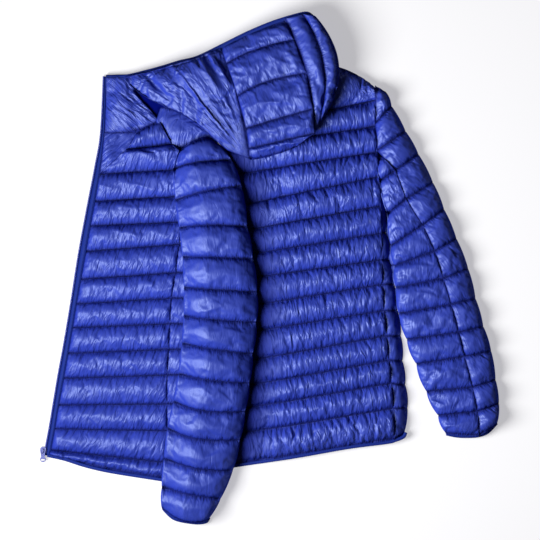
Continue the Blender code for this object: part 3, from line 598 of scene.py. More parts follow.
def seam_frame(plan, near, focus):
    """Each point's place along the seams, and its place across them, in millimetres.

    With a focus the folds run towards that point instead of straight across."""
    if focus:
        away = plan - np.array(focus)
        reach = np.hypot(away[..., 0], away[..., 1])
        return np.arctan2(away[..., 1], -away[..., 0]) * FOCUS_RADIUS, reach
    middle = plan[len(plan) // 2]
    run = middle[-1] - middle[0]
    return (plan - plan[0, 0]) @ (run / np.hypot(*run)), near


TUCK_ONSET = 2.6           # how far from its seam a tuck has its full depth
# Ranges that each tuck's depth, length, half width and step to the next are drawn from.
TUCK_DEPTHS, TUCK_LENGTHS = (0.45, 1.0), (0.55, 1.6)
TUCK_HALVES, TUCK_STEPS = (0.32, 0.58), (0.6, 1.5)
TUCK_SLANT = 0.28          # how much their slants differ
TUCK_TIP = 0.25            # share of its width that a tuck keeps at its tip


def tucks(across, distances, spacing, depth, reach, lean, rng, bias=(1.0, 1.0)):
    """Wedge-shaped folds that start at a seam and fade inwards.

    across is the place along the seam; distances holds each seam's distance, and bias
    how strong its folds are."""
    result = np.zeros_like(across)
    width = float(across.max())
    for distance, sign, strength in zip(distances, (1, -1), bias):
        place = float(across.min()) + rng.uniform(0, spacing)
        onset = np.clip(distance / TUCK_ONSET, 0, 1)
        while place < width:
            size = rng.uniform(*TUCK_DEPTHS) * strength
            length = reach * rng.uniform(*TUCK_LENGTHS) * strength ** 0.5
            slant = sign * lean + rng.gauss(0, TUCK_SLANT)
            half = spacing * rng.uniform(*TUCK_HALVES)
            fade = np.clip(1 - distance / length, 0, 1)
            centre = place + slant * distance
            half_there = half * (TUCK_TIP + (1 - TUCK_TIP) * fade)
            fold = np.clip(1 - np.abs(across - centre) / half_there, 0, 1)
            result -= depth * size * fold * fade ** 0.6 * onset
            place += spacing * rng.uniform(*TUCK_STEPS)
    return result


def streaks(across, near, height, pitch, lean, seed):
    """Narrow ridges that run from seam to seam, as uneven as drawn-in cloth."""
    flat_a, flat_n = across.ravel(), near.ravel()
    values = np.empty(flat_a.size)
    for i in range(flat_a.size):
        u = (flat_a[i] - lean * flat_n[i]) / pitch
        v = flat_n[i] / (height * 0.8)
        warp = wander(u * 0.6, v * 1.4, seed + 31.0)
        wave = wander(u + warp * 0.9, v, seed)
        fine = wander(u * 2.3 + warp, v * 1.7, seed + 7.0)
        values[i] = 1.0 - 2.6 * abs(wave) + 0.45 * fine
    return values.reshape(across.shape)


def level_rows(solid, curves, shares, edge_share):
    """Height of the frame's solid along each row, smoothed across the panel."""
    levels = []
    last = len(curves) - 1
    for k, curve in enumerate(curves):
        neighbour = curves[min(k + 1, last)] if k == 0 else curves[k - 1]
        line = curve
        if k in (0, last):
            step = min(0.4, PROBE_INSET / max(math.dist(curve[1], neighbour[1]), 1e-6))
            line = tuple(mix(p, q, step) for p, q in zip(curve, neighbour))
        heights = [solid.top(*along(line, within(s, edge_share))) for s in shares]
        levels.append(blurred(np.array(heights), 5))
    return levels


def blurred(values, window):
    padded = np.pad(values, window // 2, mode="edge")
    return np.convolve(padded, np.ones(window) / window, mode="valid")


def beside(plan, route):
    """How far each point lies to the right of a route, in millimetres."""
    route = sorted(route, key=lambda p: p[1])
    side = np.interp(plan[..., 1], [p[1] for p in route], [p[0] for p in route])
    return np.maximum(plan[..., 0] - side + 4.0, 0)


class Quilt:
    """A quilted panel over the frame's solid of the same name.

    bulge: how far its channels swell at the left and right.  under: shares of its width at
    which its under side has points.  power: how square its puffs are.  gathered: channels
    beside an elastic binding.  focus: point that its folds run towards.  section: its height
    across.  bias: strength of the tucks at a channel's two seams.  press: edge of the layer
    that lies on it."""

    def __init__(self, name, rows, bulge=(0.0, 0.0), under=(0.0, 1.0), power=0.65,
                 gathered=(), focus=None, section=(), bias=(1.0, 1.0), press=()):
        self.name, self.bulge, self.under, self.power = name, bulge, under, power
        self.gathered, self.focus, self.section = gathered, focus, section
        self.bias, self.press = bias, press
        self.pucker = Pucker(*PUCKERS[name])
        self.making = bpy.context.scene.jacket_making
        self.rng = random.Random(name)
        self.seed = self.rng.uniform(0, 50)
        self.solid = Solid(name)
        self.curves, self.channels = channels_of(rows)
        width = max(width_of(curve) for curve in self.curves)
        self.probe = PROBE_INSET / width
        self.shares = columns_for(width, self.making.cell)
        self.levels = level_rows(self.solid, self.curves, self.shares, self.probe)
        self.rings, self.pinned_rings, self.stitch_lines = [], [], []
        self.points = {"painted_shade": [], "weft": [], "warp": [], "pucker": []}
        for number in range(len(self.channels)):
            self.add_channel(number)

    def add_channel(self, number):
        """Adds the rings of points of one channel, between two stitched rows."""
        first, last = self.channels[number]
        places, height = ring_places(self.curves, first, last, self.making.cell)
        if number == 0:
            places = [-TURN_IN / height] + places
        if number == len(self.channels) - 1:
            places = places + [1.0, 1.0 + TURN_IN / height]
        rows = [row_at(self.curves, first + t * (last - first)) for t in places]
        near = np.repeat(np.array(places)[:, None] * height, len(self.shares), axis=1)
        plan = np.array([[along(row, s) for s in self.shares] for row in rows])
        across, grain = seam_frame(plan, near, self.focus)
        widths = [width_of(row) for row in rows]
        from_left = np.outer(widths, self.shares)
        sides = (from_left, np.array(widths)[:, None] - from_left)
        lift = self.channel_lift(number, near, height, across, grain, sides)
        # Shade painted into the colour: the left sleeve's painted shadow on the back, and
        # painted shade along the side seams
        painted_shading = np.zeros_like(lift)
        if self.press:
            distance = beside(plan, self.press)
            lift *= PRESSED + (1 - PRESSED) * np.sqrt(np.clip(distance / PRESS_REACH, 0, 1))
            painted_shading = SLEEVE_SHADOW_MOST * np.clip((SLEEVE_SHADOW_REACH - distance) / SLEEVE_SHADOW_FADE, 0, 1)
        for distance, most in zip(sides, SIDE_SHADE.get(self.name, USUAL_SIDE_SHADE)):
            painted_shading = np.maximum(painted_shading, most * np.exp(-(distance / SEAM_SHADE_REACH) ** 2))
        self.shape_ends(lift, number, near, height, sides)
        below = len(self.under)
        for r, t in enumerate(places):
            edge = min(t, 1 - t) * height
            self.add_ring(rows[r], first + t * (last - first), dome(t), edge, lift[r])
            # painted shade along the stitch lines, darkest at the stitches
            close = math.exp(-(edge / STITCH_SHADE_REACH) ** 2)
            weft = across[r] - self.pucker.lean * grain[r]
            values = {"painted_shade": [max(close, s) for s in painted_shading[r]] + [close] * below,
                      "weft": [*weft, *[weft[0]] * below],
                      "warp": [*(grain[r] + number * height), *[0.0] * below],
                      "pucker": [math.exp(-(edge / PUCKER_REACH) ** 2)] * len(self.rings[-1])}
            for label in values:
                self.points[label] += values[label]

    def channel_lift(self, number, near, height, across, grain, sides):
        """A channel's height over the frame: its puff, its tucks and its streaks."""
        puff, spacing, depth, reach, lean, streak, pitch, _ = self.pucker
        inner = np.clip((near - BAND_HALF) / max(height - 2 * BAND_HALF, 1), 0, 1)
        rise = puff * np.sin(math.pi * inner) ** self.power
        waves = streaks(across, grain, height, pitch, lean, self.seed + number * 3.7)
        uneven = 1 + UNEVEN[0] * streaks(across, grain, height, UNEVEN[1], 0.0,
                                         self.seed + 90 + number)
        drawn = GATHERED if number in self.gathered else 1.0
        ends = (near, height - near)
        folds = tucks(across, ends, spacing, depth * drawn, height * reach * drawn, lean,
                      self.rng, self.bias)
        folds += tucks(across, ends, spacing * FINE_TUCKS[0], depth * FINE_TUCKS[1],
                       height * reach * FINE_TUCKS[2], lean, self.rng, self.bias)
        body = np.clip(np.sin(math.pi * inner) * 1.6, 0, 1)
        reaches = SIDE_REACH.get(self.name, (EDGE_ROUND, EDGE_ROUND))
        return (rise * uneven + folds + streak * waves * body) * np.minimum(
            *map(side_round, sides, reaches))

    def shape_ends(self, lift, number, near, height, sides):
        """Adds to lift the tucks of the sides, the section, the rolled end and the bands."""
        ends = (near, height - near)
        for distance, tuck in zip(sides, SIDE_TUCKS.get(self.name, ())):
            folds = tucks(near, (distance,), *tuck, 0.0, self.rng)
            lift += folds * np.clip(np.minimum(*ends) / SIDE_TUCK_FADE, 0, 1)
        if self.section:
            spread = np.linspace(-SECTION_BLUR, SECTION_BLUR, 9)
            lift += np.mean([np.interp(self.shares + d, *zip(*self.section))
                             for d in spread], axis=0)
        if number in self.gathered:
            lift -= END_ROLL * np.exp(-(ends[number > 0] / ROLL_REACH) ** 2)
        lift -= BAND_DEPTH * np.clip(1 - np.minimum(*ends) / BAND_HALF, 0, 1)

    def add_ring(self, row, place, swell, edge, lift):
        """Adds a ring of points: over the top from left to right, and back below."""
        low = min(int(place), len(self.curves) - 2)
        base = self.levels[low] + (self.levels[low + 1] - self.levels[low]) * (place - low)
        left, right = (side * swell / width_of(row) for side in self.bulge)
        ring = []
        for i, s in enumerate(self.shares):
            x, y = along(row, s - left * (1 - s) + right * s)
            if 0 < i < len(self.shares) - 1:
                y += SWAY[edge <= 0] * wander(x * 0.09, place * 1.7, self.seed + 5)
            foot = self.solid.foot(x, y)
            z = max(base[i] + lift[i], foot + SHELL_LEAST)
            z = max(z - (TURN_DROP if edge < 0 else 0.0), foot + TURNED_LEAST)
            ring.append((x, y, z))
        if edge == 0:
            self.stitch_lines.append(ring[:])
        for s in reversed(self.under):
            ring.append((*along(row, s), self.solid.foot(*along(row, within(s, self.probe)))))
        if edge <= 0:
            self.pinned_rings.append(len(self.rings))
        self.rings.append(ring)

    def make(self):
        """Makes the piece, lets its shell settle and states its cut."""
        top_count, size = len(self.shares), len(self.rings[0])
        piece = lofted(self.name, "quilt", self.rings, shell_material(),
                       top_count)
        crease = min(1.0, self.pucker.streak) * (0.5 if self.focus else 0.8)
        self.points["crease"] = [crease] * len(self.points["painted_shade"])
        for label, values in self.points.items():
            set_attribute(piece, label, values)
        sides = [0, 1, top_count - 2, *range(top_count - 1, size)]
        pinned = [r * size + i for r in range(len(self.rings))
                  for i in (range(size) if r in self.pinned_rings else sides)]
        settle(piece, pinned, self.pucker.slack, self.making)


def quilted(name, rows, stitching=None, **options):
    """Makes a quilted panel, and the stitching of its inner rows where it has a name."""
    panel = Quilt(name, rows, **options)
    panel.make()
    if stitching:
        stitch_mesh(stitching, panel.stitch_lines[1:-1], panel.making.stitch_pitch)


def shift_end(ring, inner, gap):
    """Draws an end ring in, along the panel, by a gap."""
    middle = len(ring) // 3
    distance = max(math.dist(ring[middle][:2], inner[middle][:2]), gap)
    for i, (p, q) in enumerate(zip(ring, inner)):
        ring[i] = (*mix(p[:2], q[:2], min(0.6, gap / distance)), p[2])


# ---- stitching ---------------------------------------------------------------------------
STITCH_RADIUS = 0.32
STITCH_SHARE = 0.66        # how much of its pitch a stitch shows
STITCH_SIDES = 5
# Rings of a stitch: share of its length, thickness and rise.
STITCH_RINGS = ((0.0, 0.45, -0.35), (0.2, 1.0, 0.1), (0.8, 1.0, 0.1), (1.0, 0.45, -0.35))
STITCH_INSET = 2.0         # how far from a row's ends its stitches begin


def stitch_mesh(name, lines, pitch, offsets=(-1.0, 1.0), lift=0.5):
    """Short thread stitches along lines of points, joined into one piece."""
    vertices, faces = [], []
    shape = loft_faces(len(STITCH_RINGS), STITCH_SIDES)
    for line in lines:
        lengths = [0.0]
        for a, b in zip(line, line[1:]):
            lengths.append(lengths[-1] + math.dist(a[:2], b[:2]))
        count = int((lengths[-1] - 2 * STITCH_INSET) / pitch)
        for offset in offsets:
            for k in range(count):
                start = STITCH_INSET + k * pitch
                ends = [np.array([np.interp(start + d, lengths, [p[i] for p in line])
                                  for i in range(3)]) for d in (0, pitch * STITCH_SHARE)]
                faces += [tuple(len(vertices) + v for v in face) for face in shape]
                vertices += stitch_points(*ends, offset, lift)
    link(name, vertices, faces, thread_material())


def stitch_points(a, b, offset, lift):
    """The points of one stitch from a to b, offset to the side of its row."""
    run = b - a
    length = float(np.linalg.norm(run[:2])) or 1.0
    side = np.array([-run[1], run[0], 0.0]) / length
    up = np.array([0.0, 0.0, 1.0])
    points = []
    for share, size, rise in STITCH_RINGS:
        centre = a + run * share + side * offset + up * (lift + rise)
        for k in range(STITCH_SIDES):
            angle = 2 * math.pi * k / STITCH_SIDES
            spread = side * math.cos(angle) + up * math.sin(angle)
            points.append(tuple(centre + spread * STITCH_RADIUS * size))
    return points


# ---- materials ---------------------------------------------------------------------------
def once(kind, name):
    """Lets a function make its material or node group only where it isn't there yet."""
    def decorate(make):
        return lambda: getattr(bpy.data, kind).get(name) or make(name)
    return decorate


def set_inputs(node, values):
    for label, value in values.items():
        node.inputs[label].default_value = value


def node_group(name, inputs, outputs):
    """A shader node group with its sockets, and its input and output nodes."""
    group = bpy.data.node_groups.new(name, "ShaderNodeTree")
    for label, default in inputs.items():
        socket = group.interface.new_socket(label, in_out="INPUT",
                                            socket_type="NodeSocketFloat")
        socket.default_value = default
    for label in outputs:
        group.interface.new_socket(label, in_out="OUTPUT", socket_type="NodeSocketFloat")
    return group, group.nodes.new("NodeGroupInput"), group.nodes.new("NodeGroupOutput")


def math_node(tree, operation, *values):
    """The result of a sum on numbers and sockets."""
    node = tree.nodes.new("ShaderNodeMath")
    node.operation = operation
    for socket, value in zip(node.inputs, values):
        if isinstance(value, (int, float)):
            socket.default_value = value
        else:
            tree.links.new(value, socket)
    return node.outputs[0]


def noise_node(tree, place, values, kind="FBM"):
    texture = tree.nodes.new("ShaderNodeTexNoise")
    texture.noise_type = kind
    tree.links.new(place, texture.inputs["Vector"])
    set_inputs(texture, values)
    return texture


def object_place(tree):
    return tree.nodes.new("ShaderNodeTexCoord").outputs["Object"]


def attribute_value(tree, name):
    node = tree.nodes.new("ShaderNodeAttribute")
    node.attribute_name = name
    return node.outputs["Fac"]


@once("node_groups", "Plain weave")
def weave_group(name):
    """Plain weave with a coarser ripstop grid: a height and a small change of tone."""
    group, start, end = node_group(
        name, {"Threads per metre": 2500.0, "Grid per metre": 300.0}, ("Height", "Tone"))
    parts = group.nodes.new("ShaderNodeSeparateXYZ")
    group.links.new(object_place(group), parts.inputs[0])
    heights = []
    for label, power in (("Threads per metre", 1.0), ("Grid per metre", 24.0)):
        waves = []
        for axis in ("X", "Y"):
            turn = math_node(group, "MULTIPLY", parts.outputs[axis], start.outputs[label])
            turn = math_node(group, "MULTIPLY", turn, 2 * math.pi)
            wave = math_node(group, "ABSOLUTE", math_node(group, "SINE", turn))
            waves.append(math_node(group, "POWER", wave, power))
        heights.append(math_node(group, "MAXIMUM", *waves))
    total = math_node(group, "ADD", heights[0], math_node(group, "MULTIPLY", heights[1], 0.25))
    group.links.new(total, end.inputs["Height"])
    group.links.new(math_node(group, "MULTIPLY", total, 0.5), end.inputs["Tone"])
    return group


@once("node_groups", "Shell crinkle")
def crinkle_group(name):
    """Fine creases of a thin, calendered shell."""
    group, start, end = node_group(name, {"Creases per metre": 120.0}, ("Height", "Patches"))
    place = object_place(group)
    creases = noise_node(group, place, {"Detail": 3.0, "Roughness": 0.45},
                         "RIDGED_MULTIFRACTAL")
    patches = noise_node(group, place, {"Scale": 22.0, "Detail": 3.0})
    group.links.new(start.outputs[0], creases.inputs["Scale"])
    group.links.new(creases.outputs["Fac"], end.inputs["Height"])
    group.links.new(patches.outputs["Fac"], end.inputs["Patches"])
    return group


FOLD_LABELS = ("weft", "warp", "pucker", "crease")


@once("node_groups", "Drawn folds")
def fold_group(name):
    """Creases along the cloth's folds and short puckers at its seams."""
    group, start, end = node_group(name, dict.fromkeys(FOLD_LABELS, 0.0), ("Height",))
    weft, warp, pucker, crease = (start.outputs[label] for label in FOLD_LABELS)
    heights = []
    for across, down, amount, mask in ((0.105, 0.030, 1.0, crease), (0.19, 0.07, 0.8, pucker)):
        place = group.nodes.new("ShaderNodeCombineXYZ")
        group.links.new(math_node(group, "MULTIPLY", weft, across), place.inputs[0])
        group.links.new(math_node(group, "MULTIPLY", warp, down), place.inputs[1])
        folds = noise_node(group, place.outputs[0],
                           {"Scale": 1.0, "Detail": 2.0, "Distortion": 0.6})
        ridge = math_node(group, "SUBTRACT", folds.outputs["Fac"], 0.5)
        ridge = math_node(group, "MULTIPLY", math_node(group, "ABSOLUTE", ridge), 4.0 * amount)
        heights.append(math_node(group, "MULTIPLY", ridge, mask))
    group.links.new(math_node(group, "ADD", *heights), end.inputs["Height"])
    return group


def new_material(name, values):
    material = bpy.data.materials.new(name)
    material.use_nodes = True
    shader = material.node_tree.nodes["Principled BSDF"]
    set_inputs(shader, values)
    return material, material.node_tree, shader


def place_group(tree, group, values=()):
    node = tree.nodes.new("ShaderNodeGroup")
    node.node_tree = group
    set_inputs(node, dict(values))
    return node


def toned(tree, colour, factor, low, high):
    """A colour made darker or lighter by a factor that runs from 0 to 1."""
    ramp = tree.nodes.new("ShaderNodeMix")
    ramp.data_type = "RGBA"
    tree.links.new(factor, ramp.inputs["Factor"])
    for socket, share in ((6, low), (7, high)):
        ramp.inputs[socket].default_value = (*(min(1.0, c * share) for c in colour[:3]), 1.0)
    return ramp.outputs[2]


def add_bump(tree, shader, height, strength, distance, before=None):
    bump = tree.nodes.new("ShaderNodeBump")
    set_inputs(bump, {"Strength": strength, "Distance": distance})
    tree.links.new(height, bump.inputs["Height"])
    if before is not None:
        tree.links.new(before.outputs["Normal"], bump.inputs["Normal"])
    tree.links.new(bump.outputs["Normal"], shader.inputs["Normal"])
    return bump


def matt_rim(tree, shader, bump, colour, painted_shading=None):
    """Keeps a cloth's own colour where it is seen at a shallow angle, and no gloss on painted
    shade.
    """
    rim = tree.nodes.new("ShaderNodeLayerWeight")
    set_inputs(rim, {"Blend": 0.62})
    flat = tree.nodes.new("ShaderNodeBsdfDiffuse")
    both = tree.nodes.new("ShaderNodeMixShader")
    tree.links.new(colour, flat.inputs["Color"])
    tree.links.new(bump.outputs["Normal"], flat.inputs["Normal"])
    matt = math_node(tree, "MULTIPLY", rim.outputs["Facing"], 1.8)
    if painted_shading is not None:
        # no gloss where shade is painted, so the painted shade stays dark
        matt = math_node(tree, "MAXIMUM", matt, math_node(tree, "MULTIPLY", painted_shading, 0.85))
    for source, target in ((matt, "Fac"), (shader.outputs[0], 1), (flat.outputs[0], 2)):
        tree.links.new(source, both.inputs[target])
    tree.links.new(both.outputs[0], tree.nodes["Material Output"].inputs["Surface"])


@once("materials", "Nylon shell")
def shell_material(name):
    """Calendered nylon: a satin gloss, a fine weave, creases, and painted shade in seams and
    shadows.
    """
    finish = bpy.context.scene.jacket_finish
    material, tree, shader = new_material(name, {
        "Specular IOR Level": 0.9, "Specular Tint": (0.60, 0.73, 1.0, 1.0),
        "Sheen Weight": 0.05, "Sheen Roughness": 0.45, "Sheen Tint": (0.45, 0.55, 1.0, 1.0)})
    weave = place_group(tree, weave_group())
    crinkle = place_group(tree, crinkle_group())
    folds = place_group(tree, fold_group())
    for label in FOLD_LABELS:
        tree.links.new(attribute_value(tree, label), folds.inputs[label])
    painted_shade = attribute_value(tree, "painted_shade")
    patches = crinkle.outputs["Patches"]
    # Painted shade: the base colour is multiplied towards dark navy by the painted shade
    # attribute, at seams, beside the left sleeve and in the neck's hollow
    seam = tree.nodes.new("ShaderNodeMix")
    seam.data_type = "RGBA"
    seam.blend_type = "MULTIPLY"
    seam.inputs[7].default_value = (0.05, 0.07, 0.26, 1.0)
    tree.links.new(math_node(tree, "MULTIPLY", painted_shade, 0.9), seam.inputs["Factor"])
    tree.links.new(toned(tree, finish.shell_colour, patches, 0.86, 1.14), seam.inputs[6])
    tree.links.new(seam.outputs[2], shader.inputs["Base Color"])
    rough = math_node(tree, "MULTIPLY_ADD", patches, 0.12, finish.shell_roughness - 0.06)
    tree.links.new(math_node(tree, "MULTIPLY_ADD", painted_shade, 0.35, rough),
                   shader.inputs["Roughness"])
    deep = add_bump(tree, shader, folds.outputs["Height"], 0.9, 0.0019)
    fine = add_bump(tree, shader, crinkle.outputs["Height"], 0.14, 0.0006, deep)
    last = add_bump(tree, shader, weave.outputs["Height"], 0.08, 0.0001, fine)
    matt_rim(tree, shader, last, seam.outputs[2], painted_shade)
    return material


@once("materials", "Knitted trim")
def trim_material(name):
    """Knitted elastic binding and zip tape: matt, with fine ribs."""
    finish = bpy.context.scene.jacket_finish
    material, tree, shader = new_material(name, {
        "Roughness": 0.62, "Specular IOR Level": 0.35,
        "Specular Tint": (0.30, 0.45, 1.0, 1.0)})
    weave = place_group(tree, weave_group(),
                        {"Threads per metre": 900.0, "Grid per metre": 450.0})
    colour = toned(tree, finish.trim_colour, weave.outputs["Tone"], 0.72, 1.2)
    tree.links.new(colour, shader.inputs["Base Color"])
    bump = add_bump(tree, shader, weave.outputs["Height"], 0.5, 0.0002)
    matt_rim(tree, shader, bump, colour)
    return material


@once("materials", "Sewing thread")
def thread_material(name):
    """Spun polyester thread, twisted."""
    finish = bpy.context.scene.jacket_finish
    material, tree, shader = new_material(name, {
        "Roughness": 0.85, "Specular IOR Level": 0.15,
        "Specular Tint": (0.25, 0.35, 1.0, 1.0)})
    twist = noise_node(tree, object_place(tree), {"Scale": 1400.0}).outputs["Fac"]
    tree.links.new(toned(tree, finish.thread_colour, twist, 0.7, 1.3),
                   shader.inputs["Base Color"])
    add_bump(tree, shader, twist, 0.4, 0.0001)
    return material


def hard_material(name, roughness, coat):
    """Dyed plastic or enamelled metal, with faint wear in its gloss."""
    finish = bpy.context.scene.jacket_finish
    material, tree, shader = new_material(name, {"Coat Weight": coat, "Coat Roughness": 0.12})
    crinkle = place_group(tree, crinkle_group(), {"Creases per metre": 900.0})
    wear = crinkle.outputs["Height"]
    tree.links.new(toned(tree, finish.shell_colour, wear, 0.85, 1.15),
                   shader.inputs["Base Color"])
    tree.links.new(math_node(tree, "MULTIPLY_ADD", wear, 0.1, roughness),
                   shader.inputs["Roughness"])
    add_bump(tree, shader, wear, 0.1, 0.0001)
    return material


# ---- under layers, bindings and zip ------------------------------------------------------
UNDER_PROFILE = ((0.0, 0.96), (0.6, 0.7), (2.2, 0.34), (4.6, 0.1), (8.0, 0.0))
UNDER_COLUMNS = 9
UNDER_CELL = 1.4           # its grid, to that of the upper layers
UNDER_CLEAR = 0.15         # how far its top lies below the solid's
UNDER_DRAW = 1.6           # how far its sides are drawn in at a seam
UNDER_RIM = 8.5            # heights of its under side are read this far in
UNDER_MIDDLE = 0.42        # share of its width that a side's profile may reach
UNDER_RIPPLE = (0.5, 0.12) # height of the ripples of its sides, and how close they are


def under_layer(name, rows):
    """The layer beneath: flat where it rests, its edges rounded up to the seam."""
    solid = Solid(name)
    curves, channels = channels_of(rows)
    shares = np.linspace(0, 1, UNDER_COLUMNS)
    steps = [(True, *step) for step in UNDER_PROFILE]
    steps += [(False, *step) for step in reversed(UNDER_PROFILE)]
    cell = bpy.context.scene.jacket_making.cell * UNDER_CELL
    seed = random.Random(name).uniform(0, 50)
    rings, painted_shade = [], []
    for number, (first, last) in enumerate(channels):
        places, height = ring_places(curves, first, last, cell)
        if number == len(channels) - 1:
            places = places + [1.0]
        for t in places:
            row = row_at(curves, first + t * (last - first))
            full = width_of(row)
            draw = UNDER_DRAW * (1 - dome(t, 0.5))
            ring = []
            for s in shares:
                top = solid.top(*along(row, within(s, PROBE_INSET / full)))
                ring.append((*along(row, within(s, draw / full)), top - UNDER_CLEAR))
            for right, distance, level in steps:
                distance = min(distance + draw, full * UNDER_MIDDLE)
                s = 1 - distance / full if right else distance / full
                x, y = along(row, s)
                probe = along(row, within(s, UNDER_RIM / full))
                low, top = solid.foot(*probe), solid.top(*probe) - UNDER_CLEAR
                rise, close = UNDER_RIPPLE
                ripple = rise * wander(x * close, y * close, seed) * (0 < level < 0.9)
                ring.append((x, y, max(low + (top - low) * level + ripple, low)))
            rings.append(ring)
            edge = min(t, 1 - t) * height
            # painted shade along the stitch lines of the layer beneath
            painted_shade += [math.exp(-(edge / STITCH_SHADE_REACH) ** 2)] * len(ring)
    shift_end(rings[0], rings[1], SEAM_GAP)
    shift_end(rings[-1], rings[-2], SEAM_GAP)
    piece = lofted(name, "layer", rings, shell_material(), len(shares))
    set_attribute(piece, "painted_shade", painted_shade)


BAND_SECTION = 12
GATHER_STEP = 1.15
RIB_TURN = 1.9             # phase of the ribs from one ring to the next


def band_ring(x, y, nx, ny, near, far, low, high, phase):
    """A rounded section across a binding, with ribs raised by its elastic."""
    ring = []
    middle, half = (near + far) / 2, (far - near) / 2
    level, rise = (low + high) / 2, (high - low) / 2
    for k in range(BAND_SECTION):
        angle = math.pi - 2 * math.pi * k / BAND_SECTION
        c, s = math.cos(angle), math.sin(angle)
        swell = 1 + 0.055 * phase * (1 if s > -0.2 else 0)
        distance = middle + rounded(c, 0.55) * half * swell
        ring.append((x + nx * distance, y + ny * distance,
                     level + rounded(s, 0.55) * rise * swell))
    return ring


def binding(name, route, width, low, high, side=1):
    """An elastic binding along a route, ribbed where it gathers."""
    points = even_route(route, GATHER_STEP)
    rings = []
    for i, (x, y) in enumerate(points):
        nx, ny = side_of(points, i)
        drift = 0.5 * wander(x * 0.05, y * 0.05, 3.0)
        phase = math.sin(i * RIB_TURN + 2 * drift)
        rings.append(band_ring(x, y, nx * side, ny * side, 0.0, width + drift * 0.6, low(x),
                               high(x), phase))
    lofted(name, "elastic", rings, trim_material())


CUFF_MIDDLE = 5.2
CUFF_HALF = (1.6, 4.7)     # half heights of the slit and of the whole cuff
CUFF_WALL = 1.7
CUFF_TURN = 6              # steps round each end of the flattened cuff
CUFF_SECTION = 8


def cuff(name, route):
    """The elastic binding of a flattened cuff: a closed band round a narrow slit."""
    points = even_route(route, GATHER_STEP)
    last = len(points) - 1
    turns = [math.pi * k / CUFF_TURN for k in range(1, CUFF_TURN)]
    stations = [(i, 0.0) for i in range(last + 1)] + [(last, turn) for turn in turns]
    stations += [(i, math.pi) for i in range(last, -1, -1)]
    stations += [(0, math.pi + turn) for turn in turns]
    middle, thick = (CUFF_HALF[1] + CUFF_HALF[0]) / 2, (CUFF_HALF[1] - CUFF_HALF[0]) / 2
    rings = []
    for number, (i, angle) in enumerate(stations):
        nx, ny = side_of(points, i)
        rib = 1 + 0.05 * math.sin(number * RIB_TURN)
        out = (ny, -nx) if i == last else (-ny, nx)
        bend = abs(math.sin(angle))
        ring = []
        for k in range(CUFF_SECTION):
            turn = 2 * math.pi * k / CUFF_SECTION
            across = BINDING_WIDTH / 2 * (1 + rounded(math.cos(turn), 0.6))
            radius = (middle + thick * rounded(math.sin(turn), 0.6)) * rib
            shift = CUFF_WALL * 0.5 * bend + (radius - middle) * 0.3 * bend
            ring.append((points[i][0] + nx * across + out[0] * shift,
                         points[i][1] + ny * across + out[1] * shift,
                         max(0.02, CUFF_MIDDLE + radius * math.cos(angle))))
        rings.append(ring)
    lofted(name, "elastic", rings, trim_material(), closed=True)


def edge_at(points, y):
    """The x at height y on a line through points listed from top to bottom."""
    for (x0, y0), (x1, y1) in zip(points, points[1:]):
        if y1 <= y <= y0:
            return x0 + (x1 - x0) * (y0 - y) / (y0 - y1)
    return points[0][0] if y > points[0][1] else points[-1][0]


TOOTH_PITCH = 1.5
TOOTH_MIDDLE = 3.95
# A tooth's section, across the zip and up, and its rings: place along the zip, and height.
TOOTH_SECTION = ((0.1, 3.6), (0.1, 4.3), (0.8, 5.2), (3.1, 4.8), (3.5, 4.0), (3.5, 3.6),
                 (0.8, 2.9))
TOOTH_RINGS = ((-0.62, 0.82), (0.0, 1.0), (0.62, 0.82))


def coil_teeth():
    """The left row of a coil zip: one loop of the coil for each tooth."""
    points = even_route(ZIP_EDGE, TOOTH_PITCH)
    vertices, faces = [], []
    shape = loft_faces(len(TOOTH_RINGS), len(TOOTH_SECTION))
    for i, (x, y) in enumerate(points[:-1]):
        nx, ny = side_of(points, i)
        faces += [tuple(len(vertices) + v for v in face) for face in shape]
        for step, share in TOOTH_RINGS:
            for c, z in TOOTH_SECTION:
                vertices.append((x + nx * c + ny * step, y + ny * c - nx * step,
                                 TOOTH_MIDDLE + (z - TOOTH_MIDDLE) * share))
    piece = link("zip_teeth_left", vertices, faces, hard_material("Zip plastic", 0.36, 0.2))
    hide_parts("zip_chain_left")


WEB_THICKNESS = 0.7
WEB_COLUMNS = (0.0, 0.14, 0.22, 0.45, 0.7, 1.0)
WEB_STEP = 0.2             # share of its width where a tape rises to the cloth


def tape(name, near_line, far_line, low, high, lip=0.0):
    """A strip of zip tape between two lines, with a lip that reaches under the teeth."""
    rings = []
    for near, far in zip(near_line, far_line):
        lip_share = -lip / math.dist(near, far)
        ring = []
        for s in (lip_share, *WEB_COLUMNS):
            x, y = mix(near, far, s)
            bow = 0.35 * wander(x * 0.08, y * 0.05, 9.0) + 0.5 * dome(max(s, 0))
            ring.append((x, y, high - 0.5 + bow if s > WEB_STEP else low))
        ring += [(*far, low - WEB_THICKNESS), (*mix(near, far, lip_share), low - WEB_THICKNESS)]
        rings.append(ring)
    lofted(name, "web", rings, trim_material(), len(WEB_COLUMNS) + 1)


